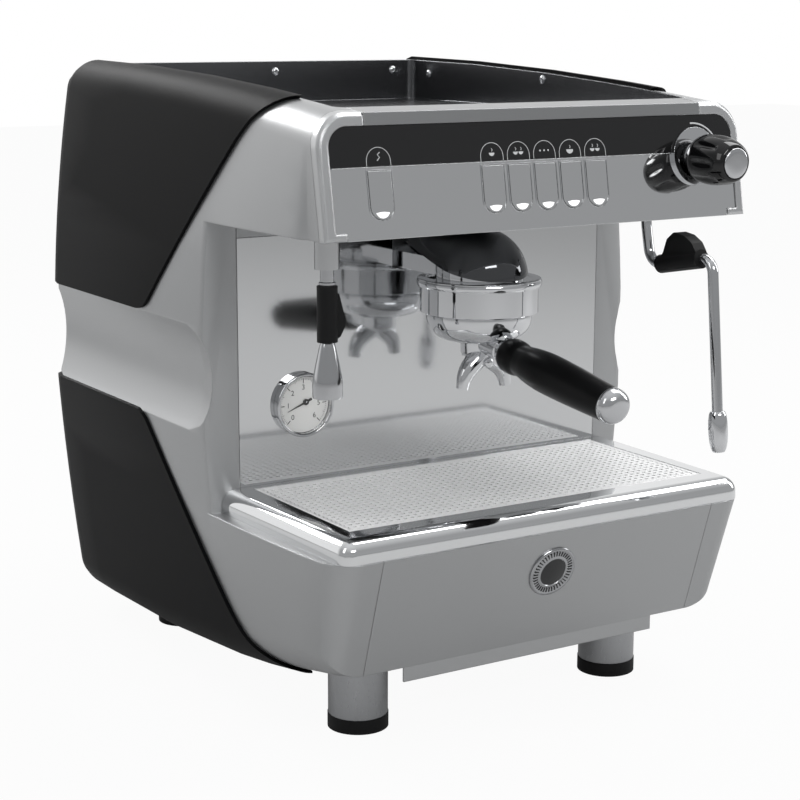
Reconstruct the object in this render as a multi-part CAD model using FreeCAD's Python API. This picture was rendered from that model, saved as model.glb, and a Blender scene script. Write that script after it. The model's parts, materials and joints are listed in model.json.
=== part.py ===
import FreeCAD, Part
import math
import os

V = FreeCAD.Vector

# One-group espresso machine in millimetres. X runs to the right, Y to the back and Z up from the
# bench. The splash face behind the cups is Y = 0 while the pieces are made, and the finished
# machine is shifted so that its origin is under the middle of its box.

# Section of the housing: half widths, and heights above the bench.
half_width = 220.5
lip_low = 236.5
lip_high = 329.5
foot_inset = 25.5
low_inset = 10.2
crown_inset = 27.5
high_inset = 9.55
crown_z = 560.0
groove_radius = 75.0
groove_depth = 15.0
groove_runout = 28.0
groove_fade = 6.0

# Side outline of the housing.
rear_y = 330.0
underside = 25.0
underside_flat = 260.0
toe_y = -163.6
toe_z = 68.0
base_front = -194.8
base_top = 170.0
base_bow = 2000.0
head_bottom = 415.0
head_front = -178.6
head_lean = 10.0
head_height = 94.0
head_inset = 15.0
roof_mid_y = 60.0
roof_mid_rise = 112.0
roof_rear_rise = 119.5
roof_corner = 30.0

# Rounded edges of the housing.
shoulder_radius = 26.5
column_radius = 6.0
hem_radius = 35.0
corner_top = 28.0
corner_toe = 16.0
bead = 2.5

# Sheet metal, seams and covers.
sheet = 2.0
seam = 0.4
cover = 3.2
base_seam_inset = 55.4
splash_inset = 33.5
splash_top = 399.8
cover_roof_width = 45.5
cover_rear_width = 22.5

# Cup tray on the roof.
tray_inset = 46.5
tray_front = -138.0
tray_back = 295.0
tray_floor = 495.0
tray_corner = 10.0
screw_radius = 3.5

# Head front, in its own leaning plane: u across, v up from the lower edge, depth inwards.
trim_depth = 10.0
trim_width = 9.0
foot_height = 6.0
foot_inset_x = 18.7
face_depth = 1.2
face_top = 85.6
face_radius = 17.0
rail_inset = 41.5
band_low = 54.8
band_thickness = 0.8
button_half = 10.0
button_low = 15.0
button_high = 51.5
button_pitch = 25.3
button_first = -154.0
button_travel = 2.0
button_gap = 0.35

# Steam knob, on an axis that droops towards the user.
knob_x = 155.0
knob_v = 51.0
knob_droop = 2.6
knob_length = 44.0
knob_radius = 20.9
knob_clear = 7.0
escutcheon_radius = 24.0
escutcheon_thickness = 3.0
stem_radius = 4.0
cap_radius = 12.6
fit = 0.05

# Steam wand.
wand_x = 145.0
wand_y = -121.5
wand_radius = 4.5
wand_nut_height = 6.0

# Hot-water outlet.
water_x = -171.0
water_y = -120.0
water_neck = 5.5
water_drop = 129.0
bell_height = 44.0

# Pressure gauge.
gauge_inset = 60.4
gauge_z = 254.8
gauge_radius = 27.3
gauge_depth = 6.5
dial_floor = 2.0

# Brewing group: its axis, and the height of the flange face below the head.
group_y = -80.0
group_drop = 57.5
collar_radius = 50.0
collar_height = 21.5
filter_radius = 36.0
lock_gap = 0.3
ear_width = 14.0
ear_reach = 3.5
lock_angle = 45.0
handle_droop = 8.1
handle_start = -123.0
handle_length = 137.0
hood_radius = 41.0
hood_wall = 1.6
hood_round = 22.0

# Drip tray.
frame_inset = 15.5
frame_taper = 5.5
frame_front = -193.6
frame_height = 19.0
frame_round = 13.0
grille_inset = 27.0
grille_front = -165.0
grille_back = -8.6
grille_thickness = 3.0
slot_count = 34
slot_width = 5.0
bin_inset = 21.0
bin_depth = 64.0
bin_wall = 1.5
tray_gap = 0.4

# Feet.
foot_side_inset = 89.5
foot_front_y = -98.7
foot_rear_y = 230.0
foot_radius = 25.0
pad_height = 12.0

# Working parts inside.
pipe_inset = 110.5
pipe_spacing = 50.0
boiler_radius = 68.0
boiler_half = 118.0
boiler_y = 190.0
boiler_z = 300.0
upright = 20.0
upright_inset = 70.5
deck_z = 76.0

# Values that follow from the sizes above.
head_half = half_width - head_inset
foot_reach = head_half - foot_inset_x
rail_half = head_half - rail_inset
base_seam = half_width - base_seam_inset
splash_half = half_width - splash_inset
gauge_x = gauge_inset - splash_half
cover_inner = half_width - cover_roof_width
cover_rear_inner = half_width - cover_rear_width
tray_half = half_width - tray_inset
frame_rear_half = half_width - frame_inset
frame_front_half = frame_rear_half - frame_taper
grille_half = frame_rear_half - grille_inset
bin_half = frame_rear_half - bin_inset
foot_x = half_width - foot_side_inset
upright_x = half_width - upright_inset
lean_tan = math.tan(math.radians(head_lean))
roof_front_y = head_front + head_height * lean_tan
roof_mid_z = head_bottom + roof_mid_rise
roof_rear_z = head_bottom + roof_rear_rise
groove_z = (lip_low + lip_high) / 2
flange_z = head_bottom - group_drop
collar_bottom = flange_z - collar_height
tray_top = base_top + frame_height


def box(x0, x1, y0, y1, z0, z1):
    return Part.makeBox(x1 - x0, y1 - y0, z1 - z0, V(x0, y0, z0))


def rod(radius, start, end):
    axis = end - start
    return Part.makeCylinder(radius, axis.Length, start, axis)


def arc(a, b, c):
    return Part.Arc(a, b, c).toShape()


def line(a, b):
    return Part.makeLine(a, b)


def fused(shapes):
    result = shapes[0]
    for shape in shapes[1:]:
        result = result.fuse(shape)
    return result.removeSplitter()


def mid_of(edge):
    return edge.valueAt((edge.FirstParameter + edge.LastParameter) / 2)


def spread(edge):
    a = edge.valueAt(edge.FirstParameter)
    b = edge.valueAt(edge.LastParameter)
    return abs(a.x - b.x)


def pick(shape, test):
    return [edge for edge in shape.Edges if test(mid_of(edge), edge)]


def turned(outline, start, direction):
    """Turn a closed outline of (radius, distance) points about an axis."""
    points = [V(r, 0, s) for r, s in outline]
    face = Part.Face(Part.makePolygon(points + [points[0]]))
    solid = face.revolve(V(0, 0, 0), V(0, 0, 1), 360)
    solid.Placement = FreeCAD.Placement(start, FreeCAD.Rotation(V(0, 0, 1), direction))
    return solid


def hexagon(width, start, end):
    """Six-sided block between two points, with its width across the flats."""
    axis = end - start
    radius = width / math.sqrt(3)
    corners = [V(radius * math.cos(k * math.pi / 3), radius * math.sin(k * math.pi / 3), 0) for k in range(7)]
    block = Part.Face(Part.makePolygon(corners)).extrude(V(0, 0, axis.Length))
    block.Placement = FreeCAD.Placement(start, FreeCAD.Rotation(V(0, 0, 1), axis))
    return block


def rounded_plan(half_a, half_b, y0, y1, radius, z0, z1):
    """Upright block with round corners at its front, half_a wide at y1 and half_b at y0."""
    edges = box(-half_b, half_b, y0, y1, z0, z1)
    if half_a != half_b:
        side = [V(-half_a, y1, z0), V(-half_b, y0, z0), V(half_b, y0, z0), V(half_a, y1, z0)]
        edges = Part.Face(Part.makePolygon(side + [side[0]])).extrude(V(0, 0, z1 - z0))
    upright_edges = pick(edges, lambda m, e: abs(m.z - (z0 + z1) / 2) < 0.01 and m.y < y0 + 1)
    return edges.makeFillet(radius, upright_edges)


def bent_tube(points, bends, radius):
    """Round bar along straight runs that are joined by tangent bends."""
    pieces = []
    last = points[0]
    for point, before, after, bend in zip(points[1:], points, points[2:], bends):
        back = (before - point).normalize()
        ahead = (after - point).normalize()
        half_turn = (math.pi - back.getAngle(ahead)) / 2
        reach = bend * math.tan(half_turn)
        centre = point + (back + ahead).normalize() * (bend / math.cos(half_turn))
        start = point + back * reach
        end = point + ahead * reach
        pieces.append(rod(radius, last, start))
        disc = Part.Face(Part.Wire([Part.makeCircle(radius, start, back)]))
        axis = (start - centre).cross(end - centre)
        pieces.append(disc.revolve(centre, axis, math.degrees(2 * half_turn)))
        last = end
    pieces.append(rod(radius, last, points[-1]))
    return fused(pieces)


def side_x(z):
    """Half width of the plain housing at a height: upright between the lips, curved in beyond."""
    if z < lip_low:
        t = (lip_low - z) / lip_low
        return half_width - (4 * low_inset - foot_inset) * t - (2 * foot_inset - 4 * low_inset) * t * t
    if z <= lip_high:
        return half_width
    t = (z - lip_high) / (crown_z - lip_high)
    return half_width - (4 * high_inset - crown_inset) * t - (2 * crown_inset - 4 * high_inset) * t * t


def rounded_end(half_at, level, radius, way):
    """Arc that turns a section's side into its roof (way 1) or its floor (way -1)."""
    centre_z = level - way * radius
    slope = (half_at(centre_z + 1) - half_at(centre_z - 1)) / 2
    tilt = math.atan(-way * slope)
    centre_x = half_at(centre_z + way * radius * math.sin(tilt)) - radius * math.cos(tilt)
    angles = (tilt, (tilt + math.pi / 2) / 2, math.pi / 2)
    return [(centre_x + radius * math.cos(t), centre_z + way * radius * math.sin(t)) for t in angles]


def section(y, half_at, floor, roof, hem, crown, plain):
    """Closed outline across the machine at one depth, with round or plainly cut corners."""
    runs = []
    low = floor
    high = roof
    if hem:
        runs.append(rounded_end(half_at, floor, hem, -1)[::-1])
        low = runs[0][-1][1]
    if crown:
        top = rounded_end(half_at, roof, crown, 1)
        high = top[0][1]
    breaks = [low] + [z for z in (lip_low, lip_high) if low < z < high] + [high]
    for z0, z1 in zip(breaks, breaks[1:]):
        runs.append([(half_at(z), z) for z in (z0, (z0 + z1) / 2, z1)])
    if crown:
        runs.append(top)
    edges = []
    for side in (1, -1):
        half = []
        for run in runs:
            m = [V(side * x, y, z) for x, z in run]
            if abs(m[0].x + m[2].x - 2 * m[1].x) < 0.001:
                half.append(line(m[0], m[2]))
            elif plain:
                half += [line(m[0], m[1]), line(m[1], m[2])]
            else:
                half.append(arc(m[0], m[1], m[2]))
        edges.append(half)
    first = runs[0][0]
    last = runs[-1][-1]
    over = line(V(last[0], y, last[1]), V(-last[0], y, last[1]))
    under = line(V(-first[0], y, first[1]), V(first[0], y, first[1]))
    return Part.Wire(edges[0] + [over] + edges[1][::-1] + [under])


def ruled(stations, grow):
    """Loft through cross sections; inside the housing they are plain polygons."""
    return Part.makeLoft([section(*values, grow < 0) for values in stations], True, True)


def rear_stations(grow):
    """Depth and inset of the sections that close the housing with round rear corners."""
    radius = roof_corner + grow
    start = rear_y - roof_corner
    turns = [math.radians(angle) for angle in (0, 30, 60, 90)]
    return [(start + radius * math.sin(t), radius * (1 - math.cos(t))) for t in turns]


def across(y, z):
    return V(-half_width - 80, y, z)


def through(edges):
    """Side outline carried across the whole width."""
    return Part.Face(Part.Wire(edges)).extrude(V(2 * half_width + 160, 0, 0))


def roof_level(y):
    """Height of the roof line: a slight arch from the head front to the rear corner."""
    knots = [(roof_front_y, head_bottom + head_height), (roof_mid_y, roof_mid_z),
             (rear_y - roof_corner, roof_rear_z)]
    total = 0.0
    for i, (y0, z0) in enumerate(knots):
        others = [y1 for j, (y1, z1) in enumerate(knots) if j != i]
        total += z0 * (y - others[0]) * (y - others[1]) / ((y0 - others[0]) * (y0 - others[1]))
    return total


def plain_half(grow, inset):
    return lambda z: side_x(z) + grow - inset


def top_block(grow):
    """Head and roof: narrows to an upright-sided, leaning front, with round shoulders."""
    floor = head_bottom - grow
    crown = shoulder_radius + grow
    stations = []
    for share, y in ((1.0, head_front - 30), (1.0, head_front + 27), (0.5, head_front + 36),
                     (0.42, head_front + 60), (0.15, head_front + 105), (0.0, head_front + 140)):
        def half_at(z, share=share):
            return side_x(z) * (1 - share) + head_half * share + grow
        stations.append((y, half_at, floor, roof_level(y) + grow, 0, crown))
    for y in (roof_mid_y, 180.0):
        stations.append((y, plain_half(grow, 0), floor, roof_level(y) + grow, 0, crown))
    for y, inset in rear_stations(grow):
        radius = max(crown - inset, 1.0)
        stations.append((y, plain_half(grow, inset), floor, roof_rear_z + grow - inset, 0, radius))
    block = ruled(stations, grow)
    shift = grow * lean_tan
    low = V(0, head_front - grow - shift, head_bottom - grow)
    high = V(0, roof_front_y - grow + shift, head_bottom + head_height + grow)
    reach = high - low
    ends = [low - reach, high + reach]
    corners = [across(ends[0].y, ends[0].z), across(ends[1].y, ends[1].z)]
    corners += [across(head_front - 300, ends[1].z), across(head_front - 300, ends[0].z)]
    return block.cut(through([line(corners[i - 1], corners[i]) for i in range(4)]))


def column_block(grow):
    """Column between base and head, its front edges rounded."""
    floor = base_top + grow
    roof = head_bottom - grow
    radius = column_radius + grow
    front = []
    for angle in (90, 45, 0):
        t = math.radians(angle)
        front.append((-grow + radius * (1 - math.sin(t)), radius * (1 - math.cos(t))))
    stations = []
    for y, inset in front + rear_stations(grow):
        stations.append((y, plain_half(grow, inset), floor, roof, 0, 0))
    return ruled(stations, grow)


def underside_z(y):
    """Height of the machine's curved underside at a depth."""
    run = underside_flat - toe_y
    rise = toe_z - underside
    radius = (run * run + rise * rise) / (2 * rise)
    if y >= underside_flat:
        return underside
    return underside + radius - math.sqrt(radius * radius - (underside_flat - y) ** 2)


def front_line_y(z, grow):
    """Depth of the sloping base front at a height."""
    share = (z - toe_z + grow) / (base_top - toe_z + 2 * grow)
    return toe_y - grow + (base_front - toe_y) * share


def base_corners(grow):
    """Blank that rounds the base's two front corners, with a larger radius at the top."""
    wires = []
    lean_in = math.radians(5.0)
    first = math.radians(3.0)
    last = math.radians(82.0)
    for z in (0.0, base_top + 20):
        radius = corner_toe + (corner_top - corner_toe) * (z - toe_z) / (base_top - toe_z) + grow
        y = front_line_y(z, grow) + radius
        x = side_x(z) + grow - y * y / (2 * base_bow) - radius / math.cos(lean_in)

        def turn(angle, side):
            return V(side * (x + radius * math.sin(angle)), y - radius * math.cos(angle), z)
        start = turn(first, 1)
        end = turn(last, 1)
        nose = V(0, start.y - start.x * math.tan(first), z)
        far_x = end.x + (rear_y + 60 - end.y) / math.tan(last)
        far = V(far_x, rear_y + 60, z)
        edges = [line(nose, start), arc(start, turn((first + last) / 2, 1), end), line(end, far)]
        mirror = V(-far_x, rear_y + 60, z)
        edges.append(line(far, mirror))
        edges.append(line(mirror, turn(last, -1)))
        edges.append(arc(turn(last, -1), turn((first + last) / 2, -1), turn(first, -1)))
        edges.append(line(turn(first, -1), nose))
        wires.append(Part.Wire(edges))
    return Part.makeLoft(wires, True, True)


def base_block(grow):
    """Base with its round hem, rear corners, sloping front and front corners."""
    roof = base_top + grow
    hem = hem_radius + grow
    stations = []
    depths = [base_front * share for share in (1.1, 0.75, 0.5, 0.25)]
    for y in depths + [0.0, underside_flat / 2, underside_flat]:
        bow = min(y, 0.0) ** 2 / (2 * base_bow)
        floor = underside_z(y) - grow
        stations.append((y, plain_half(grow, bow), floor, roof, hem, 0))
    for y, inset in rear_stations(grow):
        radius = max(hem - inset, 1.0)
        stations.append((y, plain_half(grow, inset), underside - grow, roof, radius, 0))
    toe = across(toe_y - grow, toe_z - grow)
    top = across(base_front - grow, base_top + grow)
    reach = top - toe
    ends = [toe - reach, top + reach, across(base_front - 200, 400), across(base_front - 200, -100)]
    front = through([line(ends[i - 1], ends[i]) for i in range(4)])
    return ruled(stations, grow).cut(front).common(base_corners(grow))


def side_grooves(grow):
    """Hollow along each side, which grows shallower towards the column's front edge."""
    cutters = []
    radius = groove_radius - grow
    for side in (-1, 1):
        x = side * (half_width - groove_depth + groove_radius)
        fade = side * groove_fade * 2
        along = Part.makeCylinder(radius, rear_y + 60, V(x, groove_runout, groove_z), V(0, 1, 0))
        near = Part.makeCircle(radius, V(x, groove_runout, groove_z), V(0, 1, 0))
        far = Part.makeCircle(radius, V(x + fade, -groove_runout, groove_z), V(0, 1, 0))
        cutters.append(along)
        cutters.append(Part.makeLoft([Part.Wire([near]), Part.Wire([far])], True, True))
    return cutters


def envelope(grow):
    """Whole housing as one solid, offset outwards or inwards."""
    block = top_block(grow).fuse(column_block(grow)).fuse(base_block(grow))
    for cutter in side_grooves(grow):
        block = block.cut(cutter)
    return block


def on_front(shape):
    """Lay a piece made with u, depth, v as X, Y, Z onto the leaning head front."""
    turn = FreeCAD.Rotation(V(1, 0, 0), -head_lean)
    shape.Placement = FreeCAD.Placement(V(0, head_front, head_bottom), turn)
    return shape


def face_outline(grow, low, depth0, depth1):
    """Upright-sided panel outline with round top corners."""
    half = head_half - trim_width + grow
    block = box(-half, half, depth0, depth1, low, face_top + grow)
    middle = (depth0 + depth1) / 2

    def is_corner(m, e):
        return m.z > face_top + grow - 1 and abs(m.y - middle) < 0.01 and spread(e) < 1
    return block.makeFillet(face_radius + grow, pick(block, is_corner))


def head_slab(outer):
    """Front slice of the head that carries trims, rail and panel."""
    wide = half_width + 60
    slab = outer.common(on_front(box(-wide, wide, -20, trim_depth, -30, head_height + 60)))
    normal = V(0, -math.cos(math.radians(head_lean)), math.sin(math.radians(head_lean)))
    face = max(slab.Faces, key=lambda f: f.CenterOfMass.dot(normal))
    return slab.makeChamfer(bead, face.Edges)


def corner_trims(slab):
    """Rounded frame pieces at the two ends of the head front."""
    inner = on_front(face_outline(0, foot_height, -30, trim_depth + 5))
    foot = on_front(box(-foot_reach, foot_reach, -30, trim_depth + 5, -30, foot_height + 1))
    rail = on_front(box(-rail_half - seam, rail_half + seam, -30, trim_depth + 5, 40, head_height + 40))
    ring = slab.cut(inner).cut(foot).cut(rail)
    wide = half_width + 60
    left = ring.common(box(-wide, 0, -300, 0, 300, 700))
    right = ring.common(box(0, wide, -300, 0, 300, 700))
    return left, right


def head_top_rail(slab, shell):
    """Strip over the head front with the roof skin in front of the cup tray."""
    strip = slab.common(on_front(box(-rail_half, rail_half, -30, trim_depth, face_top, head_height + 40)))
    roof = shell.common(box(-rail_half, rail_half, -300, tray_front, tray_floor + 3, crown_z))
    below = on_front(box(-rail_half - 1, rail_half + 1, -30, trim_depth, 0, face_top))
    return fused([strip, roof.cut(below)])


def button_block(x, grow, depth0, depth1):
    """Tongue-shaped block: straight top, half-round lower end."""
    half = button_half + grow
    low = button_low + button_half
    body = box(x - half, x + half, depth0, depth1, low, button_high + grow)
    end = Part.makeCylinder(half, depth1 - depth0, V(x, depth0, low), V(0, 1, 0))
    return fused([body, end])


def button_places():
    row = [button_pitch * (i - 2) for i in range(5)]
    return [button_first] + row


def knob_axis():
    angle = math.radians(knob_droop)
    return V(0, -math.cos(angle), -math.sin(angle))


def knob_origin():
    """Point of the head panel's face that the steam knob's axis passes through."""
    turn = FreeCAD.Rotation(V(1, 0, 0), -head_lean)
    return V(0, head_front, head_bottom) + turn.multVec(V(knob_x, face_depth, knob_v))


def head_front_panel(outer):
    """Recessed front panel with its lower flange, button slots and valve hole."""
    back = face_depth + sheet
    wide = face_outline(-seam, foot_height + seam, face_depth, back)
    narrow = box(-foot_reach + seam, foot_reach - seam, face_depth, back, -10, foot_height + 5)
    flange = box(-foot_reach + seam, foot_reach - seam, back - 0.5, trim_depth, -10, sheet + 1)
    panel = on_front(fused([wide, narrow, flange])).common(outer)
    for x in button_places():
        panel = panel.cut(on_front(button_block(x, button_gap, face_depth - 2, back + 1)))
    origin = knob_origin()
    axis = knob_axis()
    return panel.cut(rod(escutcheon_radius * 0.5, origin - axis * 12, origin + axis * 12))


def label_band():
    """Black glass strip across the upper half of the head front."""
    band = face_outline(-seam, band_low, face_depth - band_thickness, face_depth)
    hole = Part.makeCylinder(escutcheon_radius + 0.2, 10, V(knob_x, -5, knob_v), V(0, 1, 0))
    return on_front(band.cut(hole))


def button(x):
    """Push button that shows in the panel, with the rim behind that holds it in."""
    face = button_block(x, 0, face_depth - band_thickness, face_depth + sheet + 5)
    rim_start = face_depth + sheet + 0.2
    half = button_half + 1.2
    rim = box(x - half, x + half, rim_start, rim_start + 1.5, button_low + button_half, button_high + 1.2)
    return on_front(fused([face, rim]))


def steam_escutcheon():
    """Round plate on the head panel with a collar along the knob's axis, through to the valve."""
    origin = knob_origin()
    axis = knob_axis()
    place = V(knob_x, face_depth, knob_v)
    plate = on_front(Part.makeCylinder(escutcheon_radius, escutcheon_thickness, place, V(0, -1, 0)))
    collar = rod(escutcheon_radius * 0.5 - 0.3, origin - axis * 12, origin + axis * (knob_clear - 0.5))
    bore = rod(stem_radius + fit, origin - axis * 20, origin + axis * 20)
    return fused([plate, collar]).cut(bore)


def steam_valve():
    """Valve body behind the panel, standing on the head's inner arm."""
    origin = knob_origin()
    axis = knob_axis()
    body = rod(13.0, origin - axis * 50, origin - axis * 12.2)
    foot_z = head_bottom + sheet + upright
    block = box(knob_x - 10, knob_x + 10, origin.y + 22, origin.y + 42, foot_z, origin.z)
    bore = rod(stem_radius + fit, origin - axis * 27, origin)
    return fused([body, block]).cut(bore)


def steam_knob():
    """Barrel-shaped hand wheel with eight finger hollows round its middle, and its stem."""
    low = knob_clear
    high = low + knob_length
    middle = low + 0.43 * knob_length
    outline = [(0, low), (14.5, low), (19.6, low + 7), (knob_radius, middle), (19.0, high - 11),
               (15.0, high), (0, high)]
    knob = turned(outline, V(0, 0, 0), V(0, 0, 1))
    hollow = 6.5
    reach = knob_radius - 2.0 + hollow
    for i in range(8):
        angle = math.radians(45 * i + 5)
        place = V(reach * math.cos(angle), reach * math.sin(angle), low - 5)
        knob = knob.cut(Part.makeCylinder(hollow, knob_length + 10, place))
    stem = Part.makeCylinder(stem_radius, 26 + low + 2, V(0, 0, -26))
    seat = Part.makeCylinder(cap_radius + 0.1, 5, V(0, 0, high - 1.5))
    knob = fused([knob, stem]).cut(seat)
    knob.Placement = FreeCAD.Placement(knob_origin(), FreeCAD.Rotation(V(0, 0, 1), knob_axis()))
    return knob


def steam_knob_cap():
    """Shallow domed cap let into the end of the steam knob."""
    high = knob_clear + knob_length
    outline = [(0, high - 1.5), (cap_radius, high - 1.5), (cap_radius, high + 0.8), (8.0, high + 2.0),
               (0, high + 2.0)]
    return turned(outline, knob_origin(), knob_axis())


def wand_nut():
    """Hexagon nut under the head that the steam wand swivels in."""
    low = V(wand_x, wand_y, head_bottom - wand_nut_height)
    nut = hexagon(20.8, low, V(wand_x, wand_y, head_bottom))
    return nut.cut(Part.makeCylinder(wand_radius + fit, wand_nut_height + 10, low - V(0, 0, 5)))


def wand_route():
    top = head_bottom - 2
    drops = [(0.0, 0.0), (0.0, -8.0), (-7.5, -43.0), (-85.5, -28.0), (-98.5, -155.0)]
    return [V(wand_x, wand_y + dy, top + dz) for dy, dz in drops]


def steam_wand():
    """Bent steel tube of the steam wand."""
    return bent_tube(wand_route(), [30.0, 15.0, 12.0], wand_radius)


def wand_nozzle():
    """Barrel-shaped steam tip on the end of the wand."""
    route = wand_route()
    down = (route[-1] - route[-2]).normalize()
    return turned([(0, 0), (6.0, 0), (8.0, 8.0), (8.0, 24.0), (5.2, 34.0), (0, 34.0)], route[-1], down)


def wand_grip():
    """Rubber grip with its upright finger fin on the wand's level run."""
    route = wand_route()
    along = (route[3] - route[2]).normalize()
    first = 14.0
    last = 66.0
    sleeve = rod(8.0, route[2] + along * first, route[2] + along * last)
    fin = [(first + 2, 0), (25, 10), (31, 20), (41, 25), (53, 21), (62, 14), (last, 6), (last, -6),
           (first + 2, -6)]
    up = V(0, along.z, -along.y)
    points = [route[2] + along * a + up * b + V(-6, 0, 0) for a, b in fin]
    blade = Part.Face(Part.makePolygon(points + [points[0]])).extrude(V(12, 0, 0))
    crest = pick(blade, lambda m, e: e.Length < 13 and abs(m.x - wand_x) < 0.1 and m.z > route[2].z + 8)
    blade = blade.makeFillet(5.0, crest)
    bore = rod(wand_radius, route[2] + along * (first - 5), route[2] + along * (last + 5))
    return fused([sleeve, blade]).cut(bore)


def water_fitting():
    """Round spigot with its flange under the head, that the hot-water spout swivels in."""
    body = Part.makeCylinder(10.0, 27.5, V(water_x, water_y, head_bottom - 27.5))
    flange = Part.makeCylinder(13.0, 3.5, V(water_x, water_y, head_bottom - 3.5))
    bore = Part.makeCylinder(water_neck + fit, 20, V(water_x, water_y, head_bottom - 29))
    return fused([body, flange]).cut(bore)


def water_spout():
    """Chrome neck and bell-shaped mouth of the hot-water outlet."""
    low = head_bottom - water_drop
    neck_top = water_drop - 19
    outer = turned([(0, 0), (12, 0), (12, 13), (water_neck, bell_height), (water_neck, neck_top),
                    (0, neck_top)], V(water_x, water_y, low), V(0, 0, 1))
    inner = turned([(0, -1), (9.5, -1), (9.5, 12), (3.0, 36), (0, 36)],
                   V(water_x, water_y, low), V(0, 0, 1))
    return outer.cut(inner)


def water_sleeve():
    """Rubber sleeve on the outlet's neck with a finger rest on one side."""
    low = head_bottom - water_drop + bell_height + 0.3
    high = low + 44.0
    body = Part.makeCylinder(8.2, high - low, V(water_x, water_y, low))
    rest = [(5, 38), (7.8, 38), (13.5, 18), (13.5, 12), (9, 4), (5, 2)]
    points = [V(water_x + a, water_y - 5, low + b) for a, b in rest]
    nub = Part.Face(Part.makePolygon(points + [points[0]])).extrude(V(0, 10, 0))
    tips = pick(nub, lambda m, e: abs(m.y - water_y) < 0.1 and m.x > water_x + 8.5)
    nub = nub.makeFillet(2.2, tips)
    bore = Part.makeCylinder(water_neck, high - low + 2, V(water_x, water_y, low - 1))
    return fused([body, nub]).cut(bore)


def gauge_case():
    """Gauge body with its dial floor, needle pin and the stub behind the splash."""
    case = Part.makeCylinder(gauge_radius, gauge_depth, V(gauge_x, 0, gauge_z), V(0, -1, 0))
    well = Part.makeCylinder(gauge_radius - 2.7, gauge_depth, V(gauge_x, -dial_floor, gauge_z), V(0, -1, 0))
    pin_length = gauge_depth - 2.3 - dial_floor
    pin = Part.makeCylinder(0.9, pin_length, V(gauge_x + 2, -dial_floor, gauge_z + 2), V(0, -1, 0))
    stub = Part.makeCylinder(7.0, 12, V(gauge_x, -0.5, gauge_z), V(0, 1, 0))
    return fused([case.cut(well), pin, stub])


def gauge_lens():
    place = V(gauge_x, -gauge_depth + 1.9, gauge_z)
    return Part.makeCylinder(gauge_radius - 2.7, 1.4, place, V(0, -1, 0))


def gauge_needle():
    """Needle on its pin, with a round hub and a short tail."""
    hub = V(gauge_x + 2, -dial_floor - 0.5, gauge_z + 2)
    body = Part.makeCylinder(2.6, 1.2, hub, V(0, -1, 0))
    half = 0.9
    reach = gauge_radius - 8.0
    outline = [V(-reach, 0, 0), V(0, 0, half), V(6, 0, half), V(6, 0, -half), V(0, 0, -half)]
    blade = Part.Face(Part.makePolygon(outline + [outline[0]])).extrude(V(0, -0.8, 0))
    blade.rotate(V(0, 0, 0), V(0, 1, 0), -22)
    blade.translate(hub + V(0, -0.2, 0))
    return fused([body, blade]).cut(Part.makeCylinder(0.9 + fit, 4, hub + V(0, 1, 0), V(0, -1, 0)))


def hood_block(inset):
    """Arched block of the group hood: straight to the back, its nose round in plan and from the side."""
    radius = hood_radius - inset
    bend = hood_round - inset
    low = flange_z - 20
    high = head_bottom - 3 - inset
    stations = [(60.0, lambda z: radius, low, high, 0, bend)]
    for angle in (0, 18, 36, 52, 66, 79):
        t = math.radians(angle)
        wide = radius * math.cos(t)
        behind = min(radius * (1 - math.sin(t)), bend)
        drop = bend - math.sqrt(bend ** 2 - (bend - behind) ** 2)
        stations.append((group_y - radius * math.sin(t), lambda z, wide=wide: wide, low, high - drop, 0,
                         min(bend, 0.95 * wide)))
    return ruled(stations, 0)


def under_hood():
    """Space below the hood's lower edge, which rises to the back."""
    nose = group_y - hood_radius - 5
    slope = 0.235
    level = flange_z + 8.5 - 5 * slope
    corners = [across(nose, 0), across(nose, level), across(60, level + slope * (60 - nose)), across(60, 0)]
    return through([line(corners[i - 1], corners[i]) for i in range(4)])


def group_hood():
    """Glossy shell over the group head, open below and at the splash."""
    hood = hood_block(0).cut(hood_block(hood_wall)).cut(under_hood())
    return hood.common(box(-100, 100, -300, -lock_gap, 0, crown_z))


def group_body():
    """Cast group head: round boss over the flange and the arm that reaches the frame."""
    boss = Part.makeCylinder(hood_radius - hood_wall - 0.9, 22.0, V(0, group_y, flange_z + 6.5))
    arm = box(-36, 36, group_y, 5, flange_z + 8.5, flange_z + 42.5)
    long_edges = pick(arm, lambda m, e: abs(m.x) > 35 and e.Length > 60)
    return fused([boss, arm.makeChamfer(6.0, long_edges)])


def group_ring():
    """Flange and collar that the filter holder locks into, with its two entry slots."""
    z = flange_z
    low = collar_bottom
    bore = filter_radius + lock_gap
    race = bore + ear_reach + 0.5
    outline = [(0, z + 6.5), (collar_radius + 2, z + 6.5), (collar_radius + 2, z), (collar_radius, z),
               (collar_radius, low), (bore, low), (bore, low + 5.5), (race, low + 5.5), (race, low + 20.2),
               (28.4, low + 20.2), (28.4, low + 10.6), (0, low + 10.6)]
    ring = turned(outline, V(0, group_y, 0), V(0, 0, 1))
    slot = box(-race, race, -ear_width / 2 - 1, ear_width / 2 + 1, low - 1, low + 6)
    slot.rotate(V(0, 0, 0), V(0, 0, 1), -lock_angle)
    slot.translate(V(0, group_y, 0))
    return ring.cut(slot)


def group_gasket():
    low = collar_bottom + 11.5
    outline = [(28.5, low), (filter_radius + 0.6, low), (filter_radius + 0.6, low + 8.6), (28.5, low + 8.6)]
    return turned(outline, V(0, group_y, 0), V(0, 0, 1))


def shower_screen():
    """Thin screen under the group."""
    return Part.makeCylinder(28.3, 3.3, V(0, group_y, collar_bottom + 7.2))


def handle_axis():
    angle = math.radians(handle_droop)
    return V(0, -math.cos(angle), -math.sin(angle))


def handle_origin():
    return V(0, handle_start, collar_bottom - 30.6)


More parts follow.
